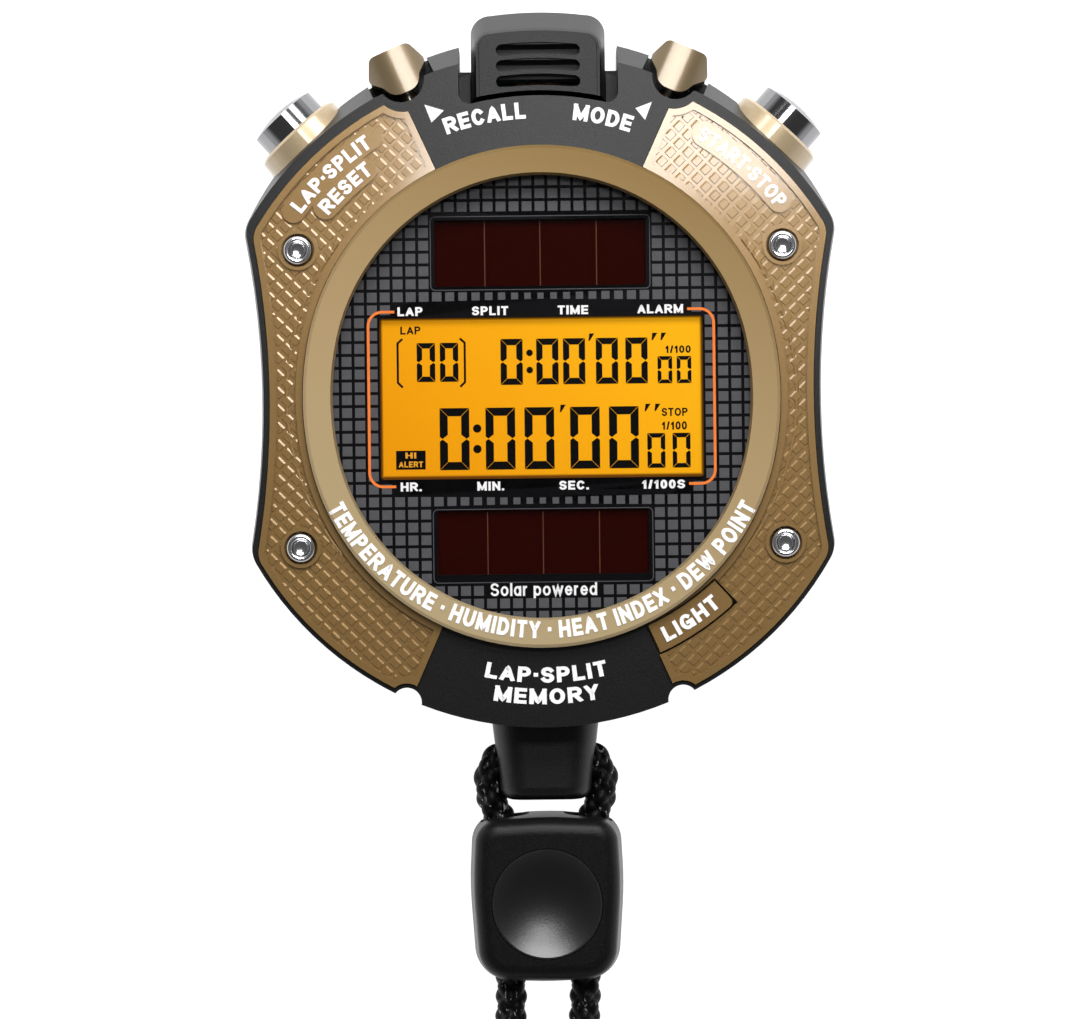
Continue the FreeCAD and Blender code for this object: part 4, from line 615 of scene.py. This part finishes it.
# ======== dial
DIAL_PRINT = (DIAL_Z + PRINT_LIFT, DIAL_Z + PRINT_LIFT + PRINT_THICK)
SQUARE_PITCH_X = 1.45 * MM
SQUARE_PITCH_Y = 1.43 * MM
SQUARE_SHIFT_Y = -0.16 * MM
SQUARE_SIZE = 1.11 * MM
SQUARE_SLIMNESS = 0.98  # height over width
SQUARE_COLUMNS, SQUARE_ROWS = 16, 18  # each way from the middle
SQUARES_HALF_X, SQUARES_HALF_Y = 24.1 * MM, 25.5 * MM  # half axes of the oval that the squares fill
SMALL_ROW = 8  # squares of this row shrink towards the middle, to the smallest share
SMALL_HALF_X = 13.5 * MM
SMALLEST_SHARE = 0.62

# half width, bottom and top, in millimetres, of the places on the dial that have no squares
CLEAR_PLACES = [
    (WINDOW_HALF_X / MM, -9.2, 9.2),  # display
    (16.9, 9.2, 10.9), (16.9, -10.9, -9.2),  # labels above and below it
    (12.5, 12.0, 20.2), (12.5, -20.7, -12.4),  # solar cells
    (7.0, -22.4, -20.5),  # words below the lower cell
]


def square_shown(x, y):
    """Whether the dial's pattern has a square here."""
    for half_width, bottom, top in CLEAR_PLACES:
        if abs(x) < half_width * MM and bottom * MM < y < top * MM:
            return False
    return math.hypot(x / SQUARES_HALF_X, y / SQUARES_HALF_Y) < 1.0


def dial_squares():
    marks = Marks()
    for column in range(-SQUARE_COLUMNS, SQUARE_COLUMNS + 1):
        for row in range(-SQUARE_ROWS, SQUARE_ROWS + 1):
            x = column * SQUARE_PITCH_X
            y = row * SQUARE_PITCH_Y + SQUARE_SHIFT_Y
            if not square_shown(x, y):
                continue
            size = SQUARE_SIZE
            if abs(row) == SMALL_ROW and abs(x) < SMALL_HALF_X:
                size *= SMALLEST_SHARE + (1 - SMALLEST_SHARE) * abs(x) / SMALL_HALF_X
            marks.prism(rectangle(x, y, size, size * SQUARE_SLIMNESS), *DIAL_PRINT)
    return marks.piece("dial_squares", "square", "dial_print")


# words, their middle's x and y, their width and height, in millimetres
DIAL_LABELS = [
    ("LAP", -14.6, 9.66, 2.8, 1.0), ("SPLIT", -5.66, 9.66, 4.05, 1.0),
    ("TIME", 3.6, 9.66, 3.4, 1.0), ("ALARM", 13.35, 9.66, 5.1, 1.0),
    ("HR.", -14.68, -9.92, 2.35, 1.0), ("MIN.", -5.8, -9.92, 3.0, 1.0),
    ("SEC.", 3.5, -9.92, 3.3, 1.0), ("1/100S", 13.5, -9.92, 4.8, 1.0),
]
DIAL_SIGN = [("Solar powered", 0.0, -21.5, 11.9, 1.45)]


def dial_labels():
    marks = Marks()
    marks.words(DIAL_LABELS, *DIAL_PRINT)
    marks.words(DIAL_SIGN, *DIAL_PRINT, stroke=0.17)
    return marks.piece("dial_labels", "white", "dial_print")


def dial_brackets():
    """Orange lines that bracket the display."""
    marks = Marks()
    width = 0.3 * MM
    end_x, line_x, corner = 16.5 * MM, 19.3 * MM, 1.55 * MM
    top, bottom = 9.63 * MM, -9.88 * MM
    path = [(end_x, top)]
    path += bend(line_x - corner, top - corner, corner, corner, 90, 0, 8)
    path += bend(line_x - corner, bottom + corner, corner, corner, 0, -90, 8)
    path.append((end_x, bottom))
    low, high = DIAL_PRINT
    for side in (-1, 1):
        flipped = [(side * x, y) for x, y in path]
        run = flipped if side > 0 else flipped[::-1]
        marks.ribbon(run, width, low + PRINT_THICK, high + PRINT_THICK)
    return marks.piece("dial_brackets", "orange", "dial_print")


CELL_SPANS = ((12.4, 19.8), (-20.3, -12.9))  # bottom and top of each solar cell, in mm
CELL_LINE_PLACES = (-6.2, 0.0, 6.3)
CELL_FRAME_GAP = 0.4


def cell_marks():
    """Copper lines across each solar cell, and the thin printed frame round it."""
    lines, frames = Marks(), Marks()
    line_width, frame_width = 0.1 * MM, 0.09 * MM
    half, corner = 12.25 * MM, 0.5 * MM
    for bottom, top in CELL_SPANS:
        for x in CELL_LINE_PLACES:
            path = [(x * MM, bottom * MM), (x * MM, top * MM)]
            lines.ribbon(path, line_width, CELL_Z + PRINT_LIFT, CELL_Z + PRINT_LIFT + PRINT_THICK)
        low_y = (bottom - CELL_FRAME_GAP) * MM + corner
        high_y = (top + CELL_FRAME_GAP) * MM - corner
        path = []
        for side, y, start in ((1, high_y, 90), (1, low_y, 0), (-1, low_y, -90), (-1, high_y, 180)):
            path += bend(side * (half - corner), y, corner, corner, start, start - 90, 4)
        frames.ribbon(path, frame_width, *DIAL_PRINT, closed=True)
    lines.piece("cell_lines", "cell_line", "solar_film")
    return frames.piece("cell_frames", "frame_line", "dial_print")


# ======== display
SEGMENT_PRINT = (LCD_Z + PRINT_LIFT, LCD_Z + PRINT_LIFT + PRINT_THICK)
SEGMENT_GAP = 0.035 * MM

# left edge, bottom, width, height and stroke of every digit, in millimetres
DIGITS = [(x, -8.08, 3.31, 6.92, 0.9) for x in (-11.44, -6.31, -1.95, 3.15, 7.5)]
DIGITS += [(x, -8.08, 2.0, 3.88, 0.5) for x in (11.76, 14.58)]
DIGITS += [(x, 1.8, 2.05, 4.35, 0.6) for x in (-13.92, -11.33)]
DIGITS += [(x, 1.38, 2.47, 5.13, 0.7) for x in (-4.55, -0.55, 2.44, 6.11, 9.42)]
DIGITS += [(x, 1.36, 1.63, 3.03, 0.42) for x in (13.0, 15.14)]
# words, their middle's x and y, their width and height, in millimetres
DISPLAY_WORDS = [
    ("LAP", -14.6, 7.58, 2.25, 0.88), ("STOP", 14.85, -1.85, 2.9, 0.9),
    ("1/100", 14.8, -3.37, 2.8, 0.92), ("1/100", 15.3, 5.16, 2.85, 0.84),
]
BADGE_WORDS = [("HI", -14.7, -6.4, 1.2, 0.66), ("ALERT", -14.7, -7.4, 2.7, 0.66)]
TICK_PLACES = [(2.01, -1.73), (11.5, -1.73), (12.6, -1.73), (5.3, 6.2), (12.35, 6.2), (13.35, 6.2)]
TICK_SIZE = 0.82
DOT_SIDES = 20


def add_digit(marks, left, bottom, width, height, stroke):
    """Zero made of six bars with mitred ends and a thin gap between them."""
    x, y, w, h, s = (value * MM for value in (left, bottom, width, height, stroke))
    g = SEGMENT_GAP
    middle = y + h / 2
    top = [(x + g, y + h), (x + s + g, y + h - s), (x + w - s - g, y + h - s), (x + w - g, y + h)]
    bottom_bar = [(px, 2 * y + h - py) for px, py in top]
    upper_left = [
        (x, y + h - g), (x, middle + g + 0.25 * s), (x + 0.35 * s, middle + g),
        (x + s, middle + g + 0.5 * s), (x + s, y + h - s - g),
    ]
    for bar in (top, bottom_bar[::-1]):
        marks.prism(bar[::-1], *SEGMENT_PRINT)
    for flip_x in (False, True):
        for flip_y in (False, True):
            bar = [
                (2 * x + w - px if flip_x else px, 2 * y + h - py if flip_y else py)
                for px, py in upper_left
            ]
            if flip_x != flip_y:
                bar = bar[::-1]
            marks.prism(bar, *SEGMENT_PRINT)


def dots(marks, x, ys, radius):
    for y in ys:
        rim = [polar(radius, 360 * k / DOT_SIDES) for k in range(DOT_SIDES)]
        outline = [((x + point.x) * MM, (y + point.y) * MM) for point in rim]
        marks.prism(outline, *SEGMENT_PRINT)


def tick(marks, x, y, size):
    """Slanted minute or second mark, wide at its top."""
    x, y, s = x * MM, y * MM, size * MM
    marks.prism([(x, y), (x + 0.18 * s, y), (x + 0.8 * s, y + s), (x + 0.12 * s, y + s)], *SEGMENT_PRINT)


def display_marks():
    marks = Marks()
    for digit in DIGITS:
        add_digit(marks, *digit)
    dots(marks, -7.25, (-3.46, -5.76), 0.47)
    dots(marks, -1.3, (4.93, 3.01), 0.37)
    for x, y in TICK_PLACES:
        tick(marks, x, y, TICK_SIZE)
    marks.words(DISPLAY_WORDS, *SEGMENT_PRINT, stroke=0.19)
    for side, x in ((1, -16.05), (-1, -8.55)):
        bow = 0.45 * side
        path = [(x + bow, 6.55), (x, 6.15), (x, 1.75), (x + bow, 1.3)]
        marks.ribbon([(px * MM, py * MM) for px, py in path], 0.24 * MM, *SEGMENT_PRINT)
    marks.prism(rectangle(-14.7 * MM, -6.92 * MM, 3.3 * MM, 2.1 * MM), *SEGMENT_PRINT)
    marks.piece("display_segments", "segment", "lcd")
    badge = Marks()
    low, high = SEGMENT_PRINT
    badge.words(BADGE_WORDS, low, high + PRINT_THICK)
    return badge.piece("display_badge_words", "badge_text", "lcd")


# ======== lettering on the case, ring and plates
RING_WORDS = [("TEMPERATURE · HUMIDITY · HEAT INDEX · DEW POINT", 25.95, 269.6, 125.0, 1.95, False)]
CASE_WORDS = [
    ("RECALL", 31.95, 100.9, 16.6, 1.85, True), ("MODE", 31.95, 77.0, 12.0, 1.85, True),
    ("LAP·SPLIT", 31.05, 270.3, 25.0, 1.75, False), ("MEMORY", 33.45, 270.3, 20.0, 1.75, False),
]
PLATE_WORDS = [
    ("LAP·SPLIT", 34.45, 132.8, 18.6, 1.7, True), ("RESET", 32.0, 132.7, 12.6, 1.7, True),
    ("START·STOP", 34.35, 48.2, 20.4, 1.7, True),
]
LIGHT_WORDS = [("LIGHT", 29.85, 303.2, 13.6, 1.75, False)]

# corners of the arrowheads beside RECALL and MODE: angle, and radius in mm; each starts at its tip
ARROWS = [
    ((108.25, 33.7), (111.25, 32.92), (111.25, 35.06)),
    ((71.35, 33.8), (68.85, 35.06), (68.85, 32.92)),
]
ARROW_ROOT = 0.1 * MM


def moulded_words(rows, *nodes):
    """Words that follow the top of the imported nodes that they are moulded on, and that height's function."""
    height = height_finder(*nodes)
    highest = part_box(nodes[0])[1].z

    def level(x, y):
        return height(x, y) or highest

    marks = Marks()
    marks.curved_words(rows, level)
    return marks, level


def case_lettering():
    """Raised white words on the ring, case, plates and light key."""
    ring, _ = moulded_words(RING_WORDS, "bezel_ring")
    ring.piece("ring_words", "white", "gold_ring")
    case, case_level = moulded_words(CASE_WORDS, "front_case")
    for corners in ARROWS:
        outline = [tuple(polar(radius * MM, angle).xy) for angle, radius in corners]
        level = case_level(*outline[0])
        case.prism(outline, level - ARROW_ROOT, level + RAISED)
    case.piece("case_words", "white", "case_black")
    plates, _ = moulded_words(PLATE_WORDS, "left_side_plate", "right_side_plate")
    plates.piece("plate_words", "white", "gold_plate")
    light, _ = moulded_words(LIGHT_WORDS, "light_key")
    light.piece("light_key_words", "white", "gold_key", body="light_button")


# ======== pattern on the side plates
TILE_PITCH = 1.38 * MM
TILE_HEIGHT = 0.09 * MM
TILE_LINES_U = (0.0, 0.05, 0.29, 0.53, 0.77, 0.99, 1.19)  # lattice lines within one pitch, in mm
TILE_LINES_V = (0.0, 0.05, 0.29, 0.53, 0.77, 1.0, 1.05, 1.22)
TILE_TOP_U = (0.05, 0.77)  # flat part of a tile across the lattice; its far wall is the gentle one
TILE_TOP_V = (0.05, 1.0)
GENTLE_WALL = 0.22
STEEP_WALL = 0.05
TILE_START = 0.95  # share of the height at which a tile's flat starts
BEAD_RADIUS = 28.42 * MM
BEAD_HALF_WIDTH = 0.27 * MM
BEAD_RISE = 0.13 * MM
BEAD_SINK = 0.04 * MM  # how far its edges lie under the plate
BEAD_STEP = 0.25  # degrees
BEAD_STEPS = 150  # each way from 3 or 9 o'clock
BEAD_POINTS = 7  # across its half round
BEAD_GAP = 0.5 * MM  # rows further apart than this stay apart
FIELD_DOME = 0.44  # radius of the plates' sunken field
FIELD_REACH = 24.0 * MM  # the field is this far out where it has its given height
FIELD_HEIGHT = 17.65 * MM
FIELD_SLACK = 0.06 * MM


def expected_field(x, y):
    """Height of the plates' sunken field: a shallow dome."""
    centre = FIELD_HEIGHT - math.sqrt(FIELD_DOME ** 2 - FIELD_REACH ** 2)
    return centre + math.sqrt(FIELD_DOME ** 2 - x ** 2 - y ** 2)


def tile_height(u, v):
    """Share of the tile height at one place within a pitch; the flat of a tile tilts a little."""
    near_u = u / STEEP_WALL
    far_u = (TILE_TOP_U[1] + GENTLE_WALL - u) / GENTLE_WALL
    near_v = v / STEEP_WALL
    far_v = (TILE_TOP_V[1] + STEEP_WALL - v) / STEEP_WALL
    flat = TILE_START + (1 - TILE_START) * (u - TILE_TOP_U[0]) / (TILE_TOP_U[1] - TILE_TOP_U[0])
    return max(min(near_u, far_u, near_v, far_v, flat, 1.0), 0.0)


def lattice_line(index, lines):
    """Distance of a lattice line from the start, and its place within its own pitch in mm."""
    turn, place = divmod(index, len(lines))
    return turn * TILE_PITCH + lines[place] * MM, lines[place]


def plate_relief(node, name, side):
    """Sheet of tiles on a diagonal lattice wherever the plate's field runs; side is -1 for the left plate."""
    height = height_finder(node)
    low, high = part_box(node)
    diagonal = math.sqrt(0.5)
    pitches = 40
    places = {}
    for i in range(-pitches * len(TILE_LINES_U), pitches * len(TILE_LINES_U)):
        u, in_u = lattice_line(i, TILE_LINES_U)
        for j in range(-pitches * len(TILE_LINES_V), pitches * len(TILE_LINES_V)):
            v, in_v = lattice_line(j, TILE_LINES_V)
            x, y = -side * (u - v) * diagonal, (u + v) * diagonal
            if not (low.x < x < high.x and low.y < y < high.y):
                continue
            level = height(x, y)
            if level is None or abs(level - expected_field(x, y)) > FIELD_SLACK:
                continue
            lift = PRINT_LIFT + TILE_HEIGHT * tile_height(in_u, in_v)
            places[i, j] = Vector((x, y, level + lift))
    numbers = {place: number for number, place in enumerate(places)}
    faces = []
    for i, j in places:
        corners = [(i, j), (i + 1, j), (i + 1, j + 1), (i, j + 1)]
        if all(corner in places for corner in corners):
            faces.append([numbers[corner] for corner in (corners if side < 0 else corners[::-1])])
    return mesh_piece(name, list(places.values()), faces, "plate")


def plate_bead(node, name, side):
    """Half-round bead along the plate's edge beside the ring."""
    height = height_finder(node)
    rows = []
    for step in range(-BEAD_STEPS, BEAD_STEPS + 1):
        angle = (0 if side > 0 else 180) + step * BEAD_STEP
        middle = polar(BEAD_RADIUS, angle)
        plate_level = height(middle.x, middle.y)
        if plate_level is None:
            continue
        row = []
        for k in range(BEAD_POINTS):
            turn = math.pi * k / (BEAD_POINTS - 1)
            level = plate_level - BEAD_SINK + BEAD_RISE * math.sin(turn)
            row.append(polar(BEAD_RADIUS - BEAD_HALF_WIDTH * math.cos(turn), angle, level))
        rows.append(row)
    vertices = [point for row in rows for point in row]
    faces = []
    for r in range(len(rows) - 1):
        if (rows[r + 1][0] - rows[r][0]).length > BEAD_GAP:
            continue
        near, far = r * BEAD_POINTS, (r + 1) * BEAD_POINTS
        for k in range(BEAD_POINTS):
            after = (k + 1) % BEAD_POINTS
            faces.append([near + k, near + after, far + after, far + k])
    piece = mesh_piece(name, vertices, faces, "plate")
    piece.data.shade_smooth()
    return piece


# ======== plate screws
# radius and depth below the top of the head, in millimetres, from the shank's tip to the socket's floor
SCREW_LINE = [
    (0.0, 7.1), (0.9, 7.1), (0.9, 1.45), (1.65, 1.45), (1.65, 0.42), (1.60, 0.24), (1.50, 0.10), (1.36, 0.02),
    (1.22, 0.0), (1.10, 0.05), (1.02, 0.14), (0.95, 0.62), (0.80, 0.80), (0.45, 0.90), (0.0, 0.93),
]
SCREW_SPOTS = [polar(31.7 * MM, angle) for angle in (31.55, 148.45, 211.55, -31.55)]
SCREW_SIDES = 40
AXIS_RADIUS = 0.001  # in mm: a ring on the axis keeps this radius, so that it isn't one point


def screw_heads():
    """Chrome plate screws: a domed rim round a round-walled socket."""
    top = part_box("side_plate_screws")[1].z
    marks = Marks()
    turns = [360 * k / SCREW_SIDES for k in range(SCREW_SIDES)]
    for spot in SCREW_SPOTS:
        rings = []
        for radius, depth in SCREW_LINE:
            reach = max(radius, AXIS_RADIUS) * MM
            rings.append([spot + polar(reach, turn, top - depth * MM) for turn in turns])
        add_skin(marks.vertices, marks.faces, rings)
    piece = marks.piece("plate_screws", "chrome", "chrome_part")
    piece.data.shade_smooth()
    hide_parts("side_plate_screws")


# ======== springs
# node, its joint, the joint's travel, and the direction from the spring's fixed end to its moving end
SPRINGS = [
    ("start_stop_spring", "start_stop_press", 1.0 * MM, polar(1.0, RIGHT_PUSHER_ANGLE)),
    ("lap_reset_spring", "lap_reset_press", 1.0 * MM, polar(1.0, LEFT_PUSHER_ANGLE)),
    ("light_key_spring", "light_press", 0.6 * MM, Vector((0, 0, 1))),
    ("cord_lock_spring", "cord_lock_press", 2.0 * MM, Vector((0, 0, 1))),
]


def shorten_springs():
    """Give each return spring a mesh of its own."""
    for node, joint, travel, direction in SPRINGS:
        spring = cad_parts[node]
        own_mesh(spring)


# ======== neck cord
CORD_R = 1.8 * MM

# routes and coil, in millimetres and degrees
LEFT_ROUTE = [
    (0.0, -39.6, 7.0), (-4.2, -39.6, 7.0), (-6.6, -42.0, 7.0), (-6.2, -45.6, 6.6), (-4.2, -49.8, 5.6),
    (-4.2, -61.0, 5.6), (-4.2, -72.5, 5.6), (-6.0, -83.0, 2.0), (-9.3, -93.5, 1.8),
]
RIGHT_ROUTE = [
    (0.0, -39.6, 7.0), (4.2, -39.6, 7.0), (6.6, -42.0, 7.0), (6.2, -45.6, 6.6), (4.2, -49.8, 5.6),
    (4.2, -61.0, 5.6), (4.2, -72.5, 5.6), (1.6, -82.0, 1.8), (-5.7, -93.5, 1.8),
]
COIL_CENTRE = Vector((12.0, -104.0, 0.0))
OUTER_TURN, INNER_TURN = 21.3, 17.7  # radii of the turns of the left and the right leg
RAMP_FROM, RAMP_TO = 60.0, 100.0  # where each turn climbs onto the one below
COIL_START, COIL_END = 180.0, 1108.0
COIL_STEP = 20.0
TIE_ANGLE = -55.0
TIE_LIFT = 0.7
TIE_REACH = 32.0  # the cord starts to lift this far from the tie, and is up TIE_EASE later
TIE_EASE = 18.0
LAYER = 3.6


def smooth(value):
    value = min(max(value, 0.0), 1.0)
    return value * value * (3 - 2 * value)


def coil_height(angle):
    """Height of the cord's centre along its turns, in millimetres."""
    height = CORD_R / MM
    for turn in (1, 2):
        climb = (angle - 360 * turn - RAMP_FROM) / (RAMP_TO - RAMP_FROM)
        height += LAYER * smooth(climb)
    off_tie = abs((angle - TIE_ANGLE + 180) % 360 - 180)
    return height + TIE_LIFT * smooth((TIE_REACH - off_tie) / TIE_EASE)


def coil_points(radius):
    points = []
    steps = round((COIL_END - COIL_START) / COIL_STEP)
    for k in range(steps + 1):
        angle = COIL_START + (COIL_END - COIL_START) * k / steps
        turn = math.radians(angle)
        x = COIL_CENTRE.x + radius * math.cos(turn)
        y = COIL_CENTRE.y + radius * math.sin(turn)
        points.append((x, y, coil_height(angle)))
    return points


def spline_points(route):
    """Points along the smooth NURBS line of a route given in millimetres."""
    curve = bpy.data.curves.new("route", "CURVE")
    curve.dimensions = "3D"
    curve.resolution_u = 10
    spline = curve.splines.new("NURBS")
    spline.points.add(len(route) - 1)
    for point, (x, y, z) in zip(spline.points, route):
        point.co = (x * MM, y * MM, z * MM, 1.0)
    spline.order_u = 3
    spline.use_endpoint_u = True
    holder = bpy.data.objects.new("route", curve)
    mesh = bpy.data.meshes.new_from_object(holder)
    points = [v.co.copy() for v in mesh.vertices]
    bpy.data.objects.remove(holder)
    bpy.data.curves.remove(curve)
    bpy.data.meshes.remove(mesh)
    return points


def resampled(points, spacing):
    """Points along a line, spacing(length so far) apart, with their lengths and the whole length."""
    lengths = [0.0]
    for before, after in zip(points, points[1:]):
        lengths.append(lengths[-1] + (after - before).length)
    total = lengths[-1]
    placed, measured = [], []
    at, index = 0.0, 0
    while at < total:
        while lengths[index + 1] < at:
            index += 1
        share = (at - lengths[index]) / (lengths[index + 1] - lengths[index])
        placed.append(points[index].lerp(points[index + 1], share))
        measured.append(at)
        at += spacing(at)
    placed.append(points[-1].copy())
    measured.append(total)
    return placed, measured, total


STRANDS = 4  # strands of the braid each way round
BRAID_PITCH = 2.3 * MM  # length of one bulge
BRAID_DEPTH = 0.5 * MM
BULGE_LOW = 0.35  # height of a strand where it dives under the next
ACROSS_POWER, ALONG_POWER = 0.5, 0.7  # below 1, so that a bulge is broad
RING_POINTS = 44
FINE_LENGTH = 45 * MM  # the stretch in front of the camera has a finer mesh
FINE_STEP, COARSE_STEP = 0.21 * MM, 0.42 * MM


def braid_height(around, along):
    """Relief of the braid between 0 and 1."""
    a = STRANDS * around + along / BRAID_PITCH
    b = STRANDS * around - along / BRAID_PITCH
    over = (math.floor(a) + math.floor(b)) % 2 == 0
    across, other = (a, b) if over else (b, a)
    lane = across - math.floor(across)
    run = other - math.floor(other)
    bulge = BULGE_LOW + (1 - BULGE_LOW) * math.sin(math.pi * run) ** ALONG_POWER
    return math.sin(math.pi * lane) ** ACROSS_POWER * bulge


def braided_cord(name, route, node):
    """Mesh tube with the relief of a coarse braid, in black with pale fibres."""
    points = spline_points(route)
    line, lengths, total = resampled(points, lambda at: FINE_STEP if at < FINE_LENGTH else COARSE_STEP)
    rings = []
    side = Vector((0, 0, 1))
    for index, (point, at) in enumerate(zip(line, lengths)):
        before, after = line[max(index - 1, 0)], line[min(index + 1, len(line) - 1)]
        along = (after - before).normalized()
        side = (side - along * side.dot(along)).normalized()
        other = along.cross(side)
        ring = []
        for k in range(RING_POINTS):
            around = k / RING_POINTS
            radius = CORD_R - BRAID_DEPTH * (1 - braid_height(around, at))
            angle = math.tau * around
            ring.append(point + (side * math.cos(angle) + other * math.sin(angle)) * radius)
        rings.append(ring)
    vertices, faces = [], []
    add_skin(vertices, faces, rings)
    piece = mesh_piece(name, vertices, faces, "cord")
    piece.data.shade_smooth()
    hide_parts(node)
    return piece, line, total


def neck_cord():
    left_route = LEFT_ROUTE + coil_points(OUTER_TURN)
    right_route = RIGHT_ROUTE + coil_points(INNER_TURN)
    left, left_line, left_length = braided_cord("cord_left", left_route, "lanyard_left_leg")
    right, right_line, right_length = braided_cord("cord_right", right_route, "lanyard_right_leg")
    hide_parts("lanyard_coil")


# ======== stage, lights and camera
FLOOR_HALF = 4.0
FLOOR_DROP = 0.0002  # keeps the floor off the case's underside

# name, place, target, width, depth, and power in watts
LIGHTS = [
    ("top_panel", (0.03, 0.105, 0.37), (0.03, 0.105, 0.0), 0.15, 0.05, 0.38),
    ("wide_softbox", (0.05, 0.42, 0.42), (0, 0, 0), 0.5, 0.3, 4.1),
]


def area_light(name, place, target, width, depth, power):
    data = bpy.data.lights.new(name, "AREA")
    data.energy = power
    data.shape = "RECTANGLE"
    data.size = width
    data.size_y = depth
    light = new_object(name, data)
    light.location = place
    light.rotation_euler = (Vector(target) - Vector(place)).to_track_quat("-Z", "Y").to_euler()
    light.visible_camera = False


def build_stage():
    mesh = bpy.data.meshes.new("floor")
    corners = [(x, y, 0) for x, y in rectangle(0, 0, 2 * FLOOR_HALF, 2 * FLOOR_HALF)]
    mesh.from_pydata(corners, [], [[0, 1, 2, 3]])
    floor = new_object("floor", mesh)
    floor.location.z = -FLOOR_DROP
    settings = {
        "Base Color": (0.3, 0.3, 0.3, 1), "Roughness": 0.9,
        "Emission Color": (1, 1, 1, 1), "Emission Strength": 1.0,
    }
    mesh.materials.append(new_look("floor_white", settings).owner)
    build_world()
    for light in LIGHTS:
        area_light(*light)


def build_world():
    """Studio walls: pale low down, dark overhead."""
    world = Nodes(bpy.data.worlds.new("studio"))
    height = world.node("SeparateXYZ", {"Vector": world.place("Generated")}).outputs["Z"]
    walls = world.ramp(height, [(0.22, (0.85,) * 3), (0.50, (0.10,) * 3)])
    world.feed(world.tree.nodes["Background"], {"Color": walls})
    bpy.context.scene.world = world.owner


def build_camera():
    data = bpy.data.cameras.new("camera")
    data.sensor_width = SENSOR
    data.lens = SENSOR * CAMERA_HEIGHT / VIEW_WIDTH
    data.dof.use_dof = False
    data.clip_start = 0.01
    data.clip_end = 50
    camera = new_object("camera", data)
    camera.location = VIEW_CENTRE + Vector((0, 0, CAMERA_HEIGHT))
    camera.rotation_euler = (0, 0, VIEW_ROLL)
    bpy.context.scene.camera = camera


build_camera()
neck_cord()
build_stage()
dial_squares()
dial_labels()
dial_brackets()
cell_marks()
display_marks()
case_lettering()
screw_heads()
shorten_springs()
for plate_node, plate_name, plate_side in (("left_side_plate", "left", -1), ("right_side_plate", "right", 1)):
    plate_relief(plate_node, plate_name + "_plate_tiles", plate_side)
    plate_bead(plate_node, plate_name + "_plate_bead", plate_side)
bpy.context.scene.view_settings.view_transform = "Standard"
